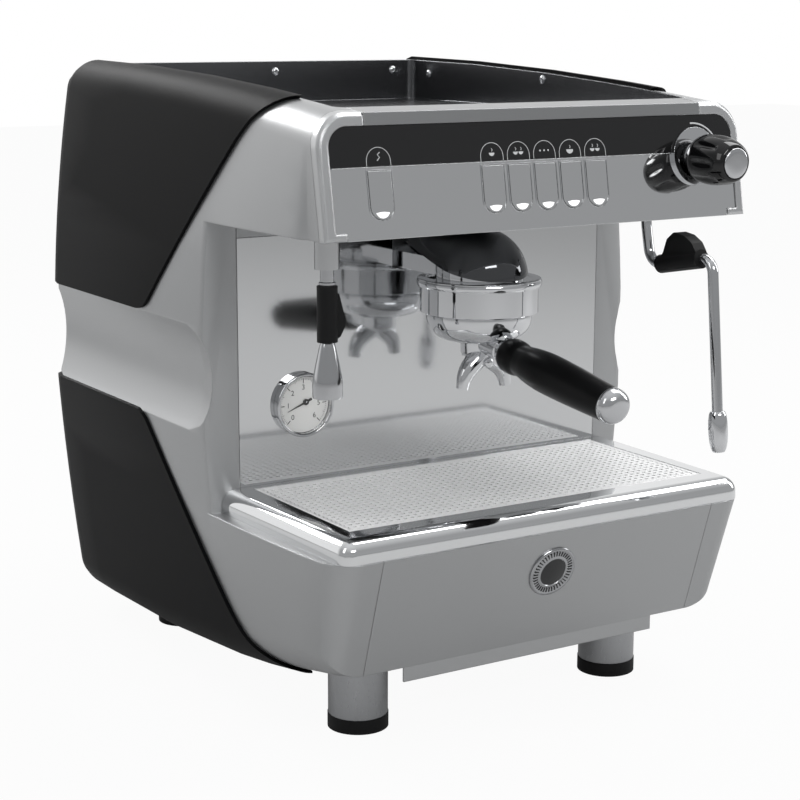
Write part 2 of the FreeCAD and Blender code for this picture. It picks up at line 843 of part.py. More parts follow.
def portafilter_handle():
    """Handle that swells at the bowl, waists and swells again towards its end."""
    long = handle_length
    outline = [(0, 0), (11.5, 0), (14.8, 5.0), (14.8, 15.0), (13.4, 21.0), (16.6, 0.4 * long),
               (14.2, long), (0, long)]
    return turned(outline, handle_origin(), handle_axis())


def handle_cap():
    """Chrome dome on the handle's end."""
    long = handle_length
    outline = [(0, long), (14.2, long), (14.2, long + 4), (9.5, long + 10.5), (0, long + 12.5)]
    return turned(outline, handle_origin(), handle_axis())


def portafilter_body(handle):
    """Filter holder: open bowl with two locking ears, neck and twin spout."""
    low = collar_bottom - 18
    top = collar_bottom + 10.6
    r = filter_radius
    outline = [(0, low), (r - 5, low), (r, low + 7), (r, top), (r - 5.8, top), (r - 5.8, low + 3),
               (0, low + 3)]
    bowl = turned(outline, V(0, group_y, 0), V(0, 0, 1))
    ear_low = collar_bottom + 6.0
    reach = r + ear_reach
    ears = Part.makeCylinder(reach, 4, V(0, group_y, ear_low))
    ears = ears.cut(Part.makeCylinder(r - 1, 6, V(0, group_y, ear_low - 1)))
    half = ear_width / 2
    ears = ears.common(box(-60, 60, group_y - half, group_y + half, ear_low, ear_low + 4))
    boss = Part.makeCylinder(9.0, 20, V(0, group_y, low - 19))
    neck = rod(8.0, V(0, group_y - 17, low + 9), handle_origin() + V(0, -7, 2))
    neck = neck.cut(Part.makeCylinder(r - 3, 60, V(0, group_y, low - 5)))
    neck = neck.cut(handle)
    parts = [bowl, ears, boss, neck]
    for side in (-1, 1):
        start = V(side * 2, group_y, low - 9)
        elbow = V(side * 16, group_y - 2, low - 17)
        end = V(side * 22.5, group_y - 4, low - 45)
        parts += [rod(7.0, start, elbow), Part.makeSphere(7.0, elbow), rod(7.0, elbow, end)]
    holder = fused(parts)
    for side in (-1, 1):
        start = V(side * 19.7, group_y - 3, low - 28)
        end = V(side * 22.7, group_y - 4.1, low - 47)
        holder = holder.cut(rod(4.6, start, end))
    return holder


def portafilter_basket():
    """Thin sheet basket whose rim lies on the bowl."""
    top = collar_bottom + 10.6
    r = filter_radius - 6.2
    deep = top - 23
    outline = [(0, deep), (r, deep), (r, top), (r + 4.5, top), (r + 4.5, top + 0.7),
               (r - 0.8, top + 0.7), (r - 0.8, deep + 0.8), (0, deep + 0.8)]
    return turned(outline, V(0, group_y, 0), V(0, 0, 1))


def drip_tray_frame():
    """Polished frame with a broad round outer edge and the ledge that carries the grille."""
    back = -tray_gap
    frame = rounded_plan(frame_rear_half, frame_front_half, frame_front, back, 12.0, base_top, tray_top)

    def is_crown(m, e):
        return m.z > tray_top - 0.1 and (m.y < back - 0.5)
    frame = frame.makeFillet(frame_round, pick(frame, is_crown))
    ledge = grille_thickness + 0.5
    clear = tray_gap
    well = box(-grille_half - clear, grille_half + clear, grille_front - clear, grille_back + clear,
               tray_top - ledge, tray_top + 5)
    hole = box(-grille_half + 4, grille_half - 4, grille_front + 4, grille_back - 4, base_top - 5, tray_top)
    return frame.cut(well).cut(hole)


def drip_grille():
    """Slotted sheet over the drip tray."""
    top = tray_top - 0.5
    low = top - grille_thickness
    plate = box(-grille_half, grille_half, grille_front, grille_back, low, top)
    pitch = (2 * grille_half - 16) / slot_count
    depth = grille_back - grille_front
    slots = []
    for i in range(slot_count):
        x = -grille_half + 8 + pitch * (i + 0.5)
        for row in (0, 1):
            y0 = grille_front + 14 + row * (depth - 20) / 2
            y1 = y0 + (depth - 20) / 2 - 8
            slots.append(box(x - slot_width / 2, x + slot_width / 2, y0, y1, low - 1, top + 1))
    return plate.cut(Part.makeCompound(slots))


def drip_tray_bin():
    """Folded tray below the frame that catches the drips."""
    front = grille_front + 3.5
    back = grille_back + 3
    low = base_top - bin_depth
    wall = bin_wall
    outer = box(-bin_half, bin_half, front, back, low, base_top)
    inner = box(-bin_half + wall, bin_half - wall, front + wall, back - wall, low + wall, base_top + 5)
    corners = pick(outer, lambda m, e: abs(m.z - (low + base_top) / 2) < 0.1)
    outer = outer.makeFillet(8.0, corners)
    corners = pick(inner, lambda m, e: abs(m.z - (low + wall + base_top + 5) / 2) < 0.1)
    inner = inner.makeFillet(8.0 - wall, corners)
    return outer.cut(inner)


def cup_tray(outer):
    """Pan let into the roof, with a flat floor and walls up to the roof line."""
    pan = box(-tray_half, tray_half, tray_front, tray_back, tray_floor - sheet, crown_z)
    hollow = box(-tray_half + sheet, tray_half - sheet, tray_front + sheet, tray_back - sheet,
                 tray_floor, crown_z + 5)
    high = (tray_floor + crown_z) / 2
    corners = pick(pan, lambda m, e: abs(m.z - high + sheet / 2) < 0.1)
    pan = pan.makeFillet(tray_corner, corners)
    corners = pick(hollow, lambda m, e: abs(m.z - high - 2.5) < 0.1)
    hollow = hollow.makeFillet(tray_corner - sheet, corners)
    return pan.cut(hollow).common(outer)


def tray_block():
    """Space that the cup tray takes from the roof skin."""
    block = box(-tray_half, tray_half, tray_front, tray_back, tray_floor - sheet, crown_z + 20)
    high = (tray_floor - sheet + crown_z + 20) / 2
    corners = pick(block, lambda m, e: abs(m.z - high) < 0.1)
    return block.makeFillet(tray_corner, corners)


def guard_screws():
    """Screw heads on the inner walls of the cup tray."""
    heads = []
    inner = tray_half - sheet
    back = tray_back - sheet
    for x in (-tray_half + 27.0, 10.0, tray_half - 27.0):
        heads.append(Part.makeCylinder(screw_radius, 2, V(x, back, roof_rear_z - 10), V(0, -1, 0)))
    for side in (-1, 1):
        for y in (67.0, 262.0):
            place = V(side * inner, y, roof_mid_z - 6)
            heads.append(Part.makeCylinder(screw_radius, 2, place, V(-side, 0, 0)))
    return Part.makeCompound(heads)


def shell_skin(outer, inner):
    """Sheet skin of the housing, open for the cup tray and the drip tray."""
    skin = outer.cut(inner).cut(tray_block())
    half = bin_half + 3
    hole = box(-half, half, grille_front - 5, sheet + 0.2, base_top - sheet - 1, base_top + 1)
    return skin.cut(hole)


def side_panel(skin, side):
    """One side of the housing, from the base corner over the column and head to the roof."""
    wide = half_width + 60
    half = skin.common(box(0, wide, -400, 500, -20, crown_z + 20))
    if side < 0:
        half = skin.common(box(-wide, 0, -400, 500, -20, crown_z + 20))
    edge = base_seam + seam / 2
    half = half.cut(box(-edge, edge, -400, 500, -20, crown_z + 20))
    edge = splash_half + seam
    half = half.cut(box(-edge, edge, head_front - 20, sheet + 0.2, base_top + 0.2, head_bottom + sheet + 3))
    return half.cut(on_front(box(-wide, wide, -30, trim_depth + 0.1, -30, head_height + 60)))


def rear_panel(skin):
    """Back of the housing with its fold onto the roof, vent slots and pipe holes."""
    edge = base_seam - seam / 2
    cut = underside + sheet + seam
    panel = skin.common(box(-edge, edge, tray_back, rear_y + 10, cut, crown_z))
    slots = []
    for i in range(9):
        for side in (-1, 1):
            z = base_top + 190 + 12 * i
            x = side * 80
            slots.append(box(x - 45, x + 45, rear_y - 5, rear_y + 5, z, z + 4))
    panel = panel.cut(Part.makeCompound(slots))
    for x, z, radius in rear_pipes():
        panel = panel.cut(Part.makeCylinder(radius, 30, V(x, rear_y - 15, z), V(0, 1, 0)))
    return panel


def rear_pipes():
    """Places and radii of water inlet, drain and cable gland on the back."""
    z = underside + 45
    far = half_width - pipe_inset
    return [(-far, z, 8.3), (pipe_spacing - far, z, 9.5), (far, z, 8.0)]


def rear_spigot(index, wall):
    """Round connection on the back: pipe stub with its flange against the panel."""
    x, z, radius = rear_pipes()[index]
    flange = hexagon(2 * radius + 4, V(x, rear_y, z), V(x, rear_y + 4, z))
    pipe = Part.makeCylinder(radius, 34, V(x, rear_y - 20, z), V(0, 1, 0))
    bore = Part.makeCylinder(radius - wall, 50, V(x, rear_y - 12, z), V(0, 1, 0))
    return fused([flange, pipe]).cut(bore)


def underside_pan(skin):
    """Curved bottom of the housing between the side panels."""
    edge = base_seam - seam / 2
    front = skin.common(box(-edge, edge, toe_y + sheet + 0.2, tray_back, 0, toe_z + sheet))
    rear = skin.common(box(-edge, edge, tray_back, rear_y + 5, 0, underside + sheet))
    return fused([front, rear])


def base_front_panel(skin):
    """Sloping front of the base with its top fold and the lip below."""
    edge = base_seam - seam / 2
    panel = skin.common(box(-edge, edge, base_front - 10, toe_y + sheet, toe_z, base_top + 1))
    lip = box(-127, 127, toe_y, toe_y + sheet, toe_z - 12, toe_z + 3)
    return fused([panel, lip])


def badge_disc():
    """Plain round disc on the sloping base front."""
    slope = (toe_y - base_front) / (base_top - toe_z)
    z = base_top - 37
    y = toe_y - (z - toe_z) * slope
    normal = V(0, -1, -slope).normalize()
    profile = [(0, 0), (22.5, 0), (21.5, 2.0), (0, 2.0)]
    return turned(profile, V(4, y, z), normal)


def splash_panel():
    """Bright sheet behind the cups, folded back at its sides, notched for the group."""
    top = splash_top
    low = base_top + 0.5
    sheet_face = box(-splash_half, splash_half, 0, sheet, low, top)
    folds = [box(-splash_half, -splash_half + sheet, 0, 12, low, top)]
    folds.append(box(splash_half - sheet, splash_half, 0, 12, low, top))
    panel = fused([sheet_face] + folds)
    clear = lock_gap
    panel = panel.cut(box(-36 - clear, 36 + clear, -5, 20, flange_z + 8.5 - clear, top + 1))
    return panel.cut(Part.makeCylinder(7.0 + clear, 20, V(gauge_x, -5, gauge_z), V(0, 1, 0)))


def head_underside(skin):
    """Bottom of the head between the side panels, with the strip over the splash."""
    wide = splash_half
    bottom = skin.common(box(-wide, wide, head_front - 10, sheet, head_bottom - 1, head_bottom + sheet))
    bottom = bottom.cut(on_front(box(-250, 250, -30, trim_depth + 0.2, -30, head_height)))
    strip = box(-wide, wide, 0, sheet, splash_top + seam, head_bottom + sheet)
    arm = box(-36 - lock_gap, 36 + lock_gap, -5, 20, flange_z, flange_z + 42.8)
    return fused([bottom, strip]).cut(arm)


def upper_cover_outline():
    """Side outline of the upper cover: level foot, diagonal front, tip on the shoulder."""
    low = lip_high - 0.5
    corner = 32.0
    knee_y = 110.5
    rise = math.radians(45.5)
    tangent = corner * math.tan(rise / 2)
    a = across(rear_y + 40, low)
    b = across(knee_y + tangent, low)
    direction = V(0, -math.cos(rise), math.sin(rise))
    knee = across(knee_y, low)
    c = knee + direction * tangent
    centre = b + V(0, 0, corner)
    m = centre + (knee - centre).normalize() * corner
    d = knee + direction * ((head_bottom + 67 - low) / math.sin(rise))
    e = across(-68.0, head_bottom + 89.5)
    f = across(-97.0, head_bottom + 108)
    g = across(-97.0, crown_z + 20)
    h = across(rear_y + 40, crown_z + 20)
    return [line(a, b), arc(b, m, c), line(c, d), arc(d, e, f), line(f, g), line(g, h), line(h, a)]


def lower_cover_outline():
    """Side outline of the lower cover: level top, diagonal front, toe along the underside."""
    high = lip_low + 3.0
    corner = 32.0
    knee_y = 116.0
    fall = math.radians(47.5)
    tangent = corner * math.tan(fall / 2)
    direction = V(0, -math.cos(fall), -math.sin(fall))
    knee = across(knee_y, high)
    a = across(rear_y + 40, high)
    b = across(knee_y + tangent, high)
    c = knee + direction * tangent
    centre = b + V(0, 0, -corner)
    m = centre + (knee - centre).normalize() * corner
    d = knee + direction * ((high - 100) / math.sin(fall))
    e = across(-62.0, 64.0)
    f = across(-100.0, 55.0)
    g = across(-100.0, -20)
    h = across(rear_y + 40, -20)
    return [line(a, b), arc(b, m, c), line(c, d), arc(d, e, f), line(f, g), line(g, h), line(h, a)]


def cover_pair(band, edges):
    """Left and right plastic covers that lie on the side panels and wrap their edges."""
    prism = through(edges)
    wide = half_width + 60
    pieces = []
    for side in (-1, 1):
        x0, x1 = sorted((side * cover_inner, side * wide))
        piece = band.common(prism).common(box(x0, x1, -400, 500, -30, crown_z + 30))
        x0, x1 = sorted((0, side * cover_rear_inner))
        pieces.append(piece.cut(box(x0, x1, rear_y - 20, 500, -30, crown_z + 30)))
    return pieces


def feet(outer):
    """Four round steel feet whose tops follow the curved underside."""
    legs = []
    for x in (-foot_x, foot_x):
        for y in (foot_front_y, foot_rear_y):
            top = underside_z(y - foot_radius) + 6
            leg = Part.makeCylinder(foot_radius, top - pad_height, V(x, y, pad_height))
            legs.append(leg.cut(outer))
    return Part.makeCompound(legs)


def foot_pads():
    """Rubber pads under the feet."""
    pads = []
    for x in (-foot_x, foot_x):
        for y in (foot_front_y, foot_rear_y):
            pads.append(Part.makeCylinder(foot_radius + 0.5, pad_height, V(x, y, 0)))
    return Part.makeCompound(pads)


def chassis(inner):
    """Welded inner frame: deck, posts over the feet, uprights, beams and head arms."""
    half = upright / 2
    front = 5 + half
    back = tray_back + 5
    top = tray_floor - sheet
    parts = [box(-upright_x, upright_x, -140, back + half, deck_z, deck_z + 3)]
    for x in (-foot_x, foot_x):
        for y in (foot_front_y, foot_rear_y):
            parts.append(box(x - 15, x + 15, y - 15, y + 15, 0, deck_z + 1))
    for side in (-1, 1):
        x = side * upright_x
        for y in (front, back):
            parts.append(box(x - half, x + half, y - half, y + half, deck_z, top))
        y0 = head_front + trim_depth + button_travel + 10
        low = head_bottom + sheet
        parts.append(box(x - half, x + half, y0, front, low, low + upright))
        parts.append(box(x - half, x + half, front, back, top - upright, top))
    for y in (front, back):
        parts.append(box(-upright_x, upright_x, y - half, y + half, top - upright, top))
    parts.append(box(-upright_x, upright_x, 5, 5 + upright, flange_z + 2.5, flange_z + 42.5))
    return fused(parts).common(inner)


def boiler():
    """Lying boiler drum with tapered ends on two saddles."""
    taper = 20.0
    outline = [(0, 0), (boiler_radius - taper, 0), (boiler_radius, taper),
               (boiler_radius, 2 * boiler_half - taper), (boiler_radius - taper, 2 * boiler_half),
               (0, 2 * boiler_half)]
    drum = turned(outline, V(-boiler_half, boiler_y, boiler_z), V(1, 0, 0))
    saddles = []
    for side in (-1, 1):
        x = side * boiler_half * 0.6
        saddles.append(box(x - 8, x + 8, boiler_y - 45, boiler_y + 45, deck_z + 3, boiler_z - 30))
    return fused([drum] + saddles)


def pump_motor():
    """Pump with its motor, lying front to back on the deck."""
    z = deck_z + 3 + 45
    motor = Part.makeCylinder(42, 105, V(-85, 30, z), V(0, 1, 0))
    foot = box(-115, -55, 45, 120, deck_z + 3, z)
    return fused([motor, foot])


def control_box():
    return box(30, 130, 30, 130, deck_z + 3, deck_z + 63)


def build():
    """Make every piece, keyed by its name."""
    outer = envelope(0)
    inner = envelope(-sheet)
    band = envelope(cover).cut(outer)
    skin = shell_skin(outer, inner)
    slab = head_slab(outer)
    pieces = {}
    pieces["side_panel_left"] = side_panel(skin, -1)
    pieces["side_panel_right"] = side_panel(skin, 1)
    pieces["rear_panel"] = rear_panel(skin)
    pieces["underside_pan"] = underside_pan(skin)
    pieces["base_front_panel"] = base_front_panel(skin)
    pieces["badge_disc"] = badge_disc()
    pieces["upper_cover_left"], pieces["upper_cover_right"] = cover_pair(band, upper_cover_outline())
    pieces["lower_cover_left"], pieces["lower_cover_right"] = cover_pair(band, lower_cover_outline())
    pieces["splash_panel"] = splash_panel()
    pieces["head_underside"] = head_underside(skin)
    pieces["head_top_rail"] = head_top_rail(slab, skin)
    pieces["head_front_panel"] = head_front_panel(outer)
    pieces["corner_trim_left"], pieces["corner_trim_right"] = corner_trims(slab)
    pieces["label_band"] = label_band()
    pieces["cup_tray"] = cup_tray(outer)
    pieces["guard_screws"] = guard_screws()
    pieces["feet"] = feet(outer)
    pieces["foot_pads"] = foot_pads()
    pieces["chassis"] = chassis(inner)
    pieces["boiler"] = boiler()
    pieces["pump_motor"] = pump_motor()
    pieces["control_box"] = control_box()
    pieces["water_inlet"] = rear_spigot(0, 2.5)
    pieces["drain_spigot"] = rear_spigot(1, 1.5)
    pieces["cable_gland"] = rear_spigot(2, 3.5)
    pieces["group_body"] = group_body()
    pieces["group_hood"] = group_hood()
    pieces["group_ring"] = group_ring()
    pieces["group_gasket"] = group_gasket()
    pieces["shower_screen"] = shower_screen()
    pieces["steam_valve"] = steam_valve()
    pieces["steam_escutcheon"] = steam_escutcheon()
    pieces["wand_nut"] = wand_nut()
    pieces["water_fitting"] = water_fitting()
    pieces["gauge_case"] = gauge_case()
    pieces["gauge_lens"] = gauge_lens()
    pieces["gauge_needle"] = gauge_needle()
    for number, x in enumerate(button_places()):
        pieces["button_%d" % (number + 1)] = button(x)
    pieces["steam_knob"] = steam_knob()
    pieces["steam_knob_cap"] = steam_knob_cap()
    pieces["steam_wand"] = steam_wand()
    pieces["wand_nozzle"] = wand_nozzle()
    pieces["wand_grip"] = wand_grip()
    pieces["water_spout"] = water_spout()
    pieces["water_sleeve"] = water_sleeve()
    handle = portafilter_handle()
    pieces["portafilter_body"] = portafilter_body(handle)
    pieces["portafilter_basket"] = portafilter_basket()
    pieces["portafilter_handle"] = handle
    pieces["handle_cap"] = handle_cap()
    pieces["drip_tray_frame"] = drip_tray_frame()
    pieces["drip_grille"] = drip_grille()
    pieces["drip_tray_bin"] = drip_tray_bin()
    return pieces


def main():
    os.makedirs("parts", exist_ok=True)
    pieces = build()
    front = pieces["handle_cap"].optimalBoundingBox().YMin
    back = pieces["drain_spigot"].optimalBoundingBox().YMax
    shift = V(0, -(front + back) / 2, 0)
    print("shift", shift)
    for name, shape in pieces.items():
        shape.translate(shift)
        print(name, len(shape.Solids), shape.isValid(), round(shape.Volume, 1))
        shape.exportStep("parts/" + name + ".step")


if __name__ == "__main__":
    main()
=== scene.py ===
import json
import math

import bmesh
import bpy
from mathutils import Matrix, Vector

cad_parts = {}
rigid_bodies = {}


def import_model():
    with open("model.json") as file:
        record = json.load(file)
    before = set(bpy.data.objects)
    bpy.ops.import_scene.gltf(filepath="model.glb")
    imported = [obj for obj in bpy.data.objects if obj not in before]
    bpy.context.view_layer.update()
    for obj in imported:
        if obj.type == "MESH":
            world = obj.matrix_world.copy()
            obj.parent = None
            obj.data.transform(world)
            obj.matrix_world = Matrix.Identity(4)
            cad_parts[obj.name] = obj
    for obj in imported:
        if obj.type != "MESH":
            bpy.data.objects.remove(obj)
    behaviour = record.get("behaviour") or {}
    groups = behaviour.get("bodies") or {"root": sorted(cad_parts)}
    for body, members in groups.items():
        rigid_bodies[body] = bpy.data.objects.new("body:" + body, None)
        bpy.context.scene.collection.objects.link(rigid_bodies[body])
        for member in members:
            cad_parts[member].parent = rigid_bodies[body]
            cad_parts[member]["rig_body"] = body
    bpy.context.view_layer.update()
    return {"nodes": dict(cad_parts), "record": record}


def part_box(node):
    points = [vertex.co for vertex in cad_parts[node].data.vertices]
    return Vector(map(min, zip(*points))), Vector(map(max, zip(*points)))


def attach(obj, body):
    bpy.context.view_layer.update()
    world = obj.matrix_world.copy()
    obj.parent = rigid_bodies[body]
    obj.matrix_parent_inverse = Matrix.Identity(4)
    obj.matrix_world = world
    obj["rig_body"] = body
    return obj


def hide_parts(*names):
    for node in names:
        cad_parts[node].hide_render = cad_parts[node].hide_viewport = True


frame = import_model()
nodes = frame["nodes"]
slot_of = {part["node"]: part["material_slot"] for part in frame["record"]["subparts"]}

# The studio: a pale floor that fades into a white surround, with broad soft lamps as a catalogue
# photographer hangs round polished metal. The camera stands where the photograph's did, to the
# left of the machine and a little above its head.

SPLASH_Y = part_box("splash_panel")[0].y


def at(x, y, z):
    """A point given in millimetres from the splash face, the middle and the bench."""
    return Vector((x / 1000, y / 1000 + SPLASH_Y, z / 1000))


def linear(code, alpha=1.0):
    """An sRGB hex colour turned linear."""
    parts = [int(code[i:i + 2], 16) / 255 for i in (1, 3, 5)]
    return [c / 12.92 if c <= 0.04045 else ((c + 0.055) / 1.055) ** 2.4 for c in parts] + [alpha]


def add(tree, kind, links=None, **settings):
    """Adds a node: its settings by keyword, its sockets set or linked by name or number."""
    made = tree.nodes.new(kind)
    for name, value in settings.items():
        setattr(made, name, value)
    for name, value in (links or {}).items():
        if isinstance(value, bpy.types.NodeSocket):
            tree.links.new(value, made.inputs[name])
        else:
            made.inputs[name].default_value = value
    return made


def finish_of(name, **sockets):
    """A new material and its node tree, with the shader's sockets set."""
    material = bpy.data.materials.new(name)
    material.use_nodes = True
    shader = material.node_tree.nodes["Principled BSDF"]
    for socket, value in sockets.items():
        shader.inputs[socket.replace("_", " ")].default_value = value
    return material, material.node_tree, shader


camera_data = bpy.data.cameras.new("camera")
camera_data.lens = 84.26
camera_data.sensor_width = 36.0
camera_data.clip_start = 0.05
camera = bpy.data.objects.new("camera", camera_data)
bpy.context.scene.collection.objects.link(camera)
yaw, pitch, roll = math.radians(32.34), math.radians(11.64), math.radians(0.17)
ahead = Vector((math.sin(yaw) * math.cos(pitch), math.cos(yaw) * math.cos(pitch),
                -math.sin(pitch)))
level = Vector((math.cos(yaw), -math.sin(yaw), 0.0))
upward = level.cross(ahead)
side = level * math.cos(roll) + upward * math.sin(roll)
upward = side.cross(ahead)
turn = Matrix((side, upward, -ahead)).transposed().to_4x4()
camera.matrix_world = Matrix.Translation(at(-892.2, -1365.0, 580.4)) @ turn
bpy.context.scene.camera = camera
bpy.context.scene.view_settings.view_transform = "Standard"

floor_mesh = bpy.data.meshes.new("studio_floor")
floor_mesh.from_pydata([(-8, -8, 0), (8, -8, 0), (8, 8, 0), (-8, 8, 0)], [], [(0, 1, 2, 3)])
studio_floor = bpy.data.objects.new("studio_floor", floor_mesh)
bpy.context.scene.collection.objects.link(studio_floor)
# Matt white studio paint. The eye sees it as plain white with only a breath of shadow left in it.
paint, tree, shader = finish_of("matt white studio paint", Base_Color=linear("#B6B6B6"),
                                Roughness=0.9)
rays = add(tree, "ShaderNodeLightPath")
white = add(tree, "ShaderNodeEmission", {"Color": (1, 1, 1, 1), "Strength": 1.0})
# How much of each kind of ray meets plain white in place of the paint.
white_share = None
for kind, part in (("Is Camera Ray", 0.95), ("Is Glossy Ray", 0.15), ("Is Transmission Ray", 0.5)):
    met = add(tree, "ShaderNodeMath", {0: rays.outputs[kind], 1: part}, operation="MULTIPLY")
    if white_share:
        met = add(tree, "ShaderNodeMath", {0: white_share.outputs[0], 1: met.outputs[0]},
                  operation="MAXIMUM")
    white_share = met
blend = add(tree, "ShaderNodeMixShader", {0: white_share.outputs[0], 1: shader.outputs[0],
                                          2: white.outputs[0]})
tree.links.new(blend.outputs[0], tree.nodes["Material Output"].inputs["Surface"])
studio_floor.data.materials.append(paint)

world = bpy.data.worlds.new("studio")
bpy.context.scene.world = world
world.use_nodes = True
tree = world.node_tree
tree.nodes.clear()
rays = add(tree, "ShaderNodeLightPath")
backdrop = add(tree, "ShaderNodeBackground", {"Color": (1, 1, 1, 1)})
# The walls of the studio as the metal sees them: an even grey that grows pale overhead.
where = add(tree, "ShaderNodeTexCoord")
height = add(tree, "ShaderNodeSeparateXYZ", {0: where.outputs["Generated"]})
walls = add(tree, "ShaderNodeValToRGB", {0: height.outputs["Z"]})
ramp = walls.color_ramp
ramp.elements[0].position = 0.0
ramp.elements[0].color = linear("#A4A5A6")
ramp.elements[1].position = 1.0
ramp.elements[1].color = linear("#E6E7E8")
for place, code in ((0.06, "#ABACAD"), (0.45, "#A9AAAB"), (0.7, "#C8C9CA")):
    ramp.elements.new(place).color = linear(code)
# Behind the machine hangs the white paper that the photograph's background shows.
behind = add(tree, "ShaderNodeMapRange",
             {"Value": height.outputs["Y"], "From Min": 0.35, "From Max": 0.8},
             interpolation_type="SMOOTHSTEP")
scene_light = add(tree, "ShaderNodeMix", {0: behind.outputs[0], 6: walls.outputs["Color"],
                                          7: (1.0, 1.0, 1.0, 1.0)}, data_type="RGBA")
room = add(tree, "ShaderNodeBackground", {"Color": scene_light.outputs[2], "Strength": 1.0})
choose = add(tree, "ShaderNodeMixShader", {0: rays.outputs["Is Camera Ray"], 1: room.outputs[0],
                                           2: backdrop.outputs[0]})
add(tree, "ShaderNodeOutputWorld", {"Surface": choose.outputs[0]})

for name, place, target, width, tall, power in (
        ("lamp_left", (-1.9, -0.4, 1.5), (0, 0.05, 0.4), 0.5, 1.2, 4),
        ("lamp_back", (-0.62, 1.9, 1.65), (-0.15, 0, 0.45), 1.3, 0.45, 22),
        ("lamp_front", (-0.2, -2.6, 1.9), (0, 0, 0.3), 1.4, 0.5, 24),
        ("lamp_top", (1.15, -0.1, 2.1), (0, 0, 0.25), 1.0, 1.5, 24),
        ("lamp_right", (2.3, -0.7, 1.2), (0, 0, 0.3), 0.6, 1.4, 14)):
    lamp_data = bpy.data.lights.new(name, "AREA")
    lamp_data.shape = "RECTANGLE"
    lamp_data.size = width
    lamp_data.size_y = tall
    lamp_data.energy = power
    lamp = bpy.data.objects.new(name, lamp_data)
    lamp.location = place
    lamp.rotation_euler = (Vector(target) - Vector(place)).to_track_quat("-Z", "Y").to_euler()
    bpy.context.scene.collection.objects.link(lamp)

# Housing sheets: side panels, rear panel, head underside, head front and base front. Folded sheet
# steel with a satin silver lacquer, whose folds are worn bright and run round, not sharp.


def soften(form, angle):
    """Rounds a form to the eye, but for the edges that turn by more than an angle."""
    for face in form.faces:
        face.smooth = True
    for edge in form.edges:
        if len(edge.link_faces) != 2 or edge.calc_face_angle(0.0) > math.radians(angle):
            edge.smooth = False


def dressed(node, material, angle=28):
    """A smooth copy of a node's form, standing for it on the same body."""
    piece = bpy.data.objects.new(node + "_skin", nodes[node].data.copy())
    bpy.context.scene.collection.objects.link(piece)
    form = bmesh.new()
    form.from_mesh(piece.data)
    bmesh.ops.remove_doubles(form, verts=form.verts, dist=2e-6)
    bmesh.ops.dissolve_degenerate(form, edges=form.edges, dist=1e-6)
    for face in form.faces:
        face.material_index = 0
    soften(form, angle)
    form.to_mesh(piece.data)
    form.free()
    for layer in list(piece.data.attributes):
        if layer.name == "custom_normal":
            piece.data.attributes.remove(layer)
    piece.data.materials.clear()
    piece.data.materials.append(material)
    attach(piece, nodes[node]["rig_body"])
    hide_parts(node)
    return piece


def metal(name, colour, roughness, spread, grain_mm, bump, fold_mm=0.0, metallic=1.0,
          stretch=(1, 1, 1)):
    """Sheet or plated metal: an even grain in its gloss, and folds that catch the light."""
    material, tree, shader = finish_of(name, Base_Color=linear(colour), Metallic=metallic)
    where = add(tree, "ShaderNodeTexCoord")
    drawn = add(tree, "ShaderNodeMapping", {"Vector": where.outputs["Object"], "Scale": stretch})
    grain = add(tree, "ShaderNodeTexNoise", {"Vector": drawn.outputs[0], "Scale": 1000 / grain_mm,
                                             "Detail": 2.0})
    rough = add(tree, "ShaderNodeMapRange", {"Value": grain.outputs["Fac"], "From Min": 0.3,
                                             "From Max": 0.7, "To Min": roughness - spread,
                                             "To Max": roughness + spread})
    tree.links.new(rough.outputs[0], shader.inputs["Roughness"])
    facing = None
    if fold_mm:
        facing = add(tree, "ShaderNodeBevel", {"Radius": fold_mm / 1000}, samples=4).outputs[0]
    if bump:
        lift = add(tree, "ShaderNodeBump", {"Height": grain.outputs["Fac"], "Strength": bump,
                                            "Distance": 0.0001})
        if facing:
            tree.links.new(facing, lift.inputs["Normal"])
        facing = lift.outputs[0]
    if facing:
        tree.links.new(facing, shader.inputs["Normal"])
    return material


# Satin silver lacquer over steel: soft grey with broad, blurred highlights and a fine flake.
silver = metal("satin silver lacquered steel", "#ADAEAF", 0.4, 0.02, 0.9, 0.03, 1.8, 0.95)
for node in ("side_panel_left", "side_panel_right", "rear_panel", "head_underside"):
    dressed(node, silver)
# The two fronts have a glossier coat, so that the hand wheel shows in them as in dull glass.
gloss_silver = metal("gloss silver lacquered steel", "#D8D9DA", 0.045, 0.005, 0.9, 0.0, 0.8)
dressed("head_front_panel", gloss_silver)
base_silver = metal("satin silver lacquered front", "#ADAEAF", 0.3, 0.02, 0.9, 0.02, 1.2, 0.95)
dressed("base_front_panel", base_silver)

# Dark covers on the sides: moulded ABS with a spark-eroded grain, clipped over the panels. An
# upper and a lower one on each flank keep the part's own form.


def moulded(name, colour, texture, height, grain_mm, bump, depth_mm, **sockets):
    """Moulded plastic or rubber: one dark colour over a grain that lifts its surface."""
    material, tree, shader = finish_of(name, Base_Color=linear(colour), **sockets)
    where = add(tree, "ShaderNodeTexCoord")
    grain = add(tree, texture, {"Vector": where.outputs["Object"], "Scale": 1000 / grain_mm})
    lift = add(tree, "ShaderNodeBump", {"Height": grain.outputs[height], "Strength": bump,
                                        "Distance": depth_mm / 1000})
    tree.links.new(lift.outputs[0], shader.inputs["Normal"])
    return material


# Grained black ABS: nearly black, dull, with a faint sheen where it turns to the light.
abs_black = moulded("grained black ABS", "#0C0C0D", "ShaderNodeTexVoronoi", "Distance", 1.1, 0.12,
                    0.3, Roughness=0.5, Specular_IOR_Level=0.06)
for node in ("upper_cover_left", "upper_cover_right", "lower_cover_left", "lower_cover_right"):
    dressed(node, abs_black)

# Roof: the cup tray pressed from brushed stainless sheet, the rail strip and the corner trims that
# frame the head, and dome-headed screws that hold the tray's walls.

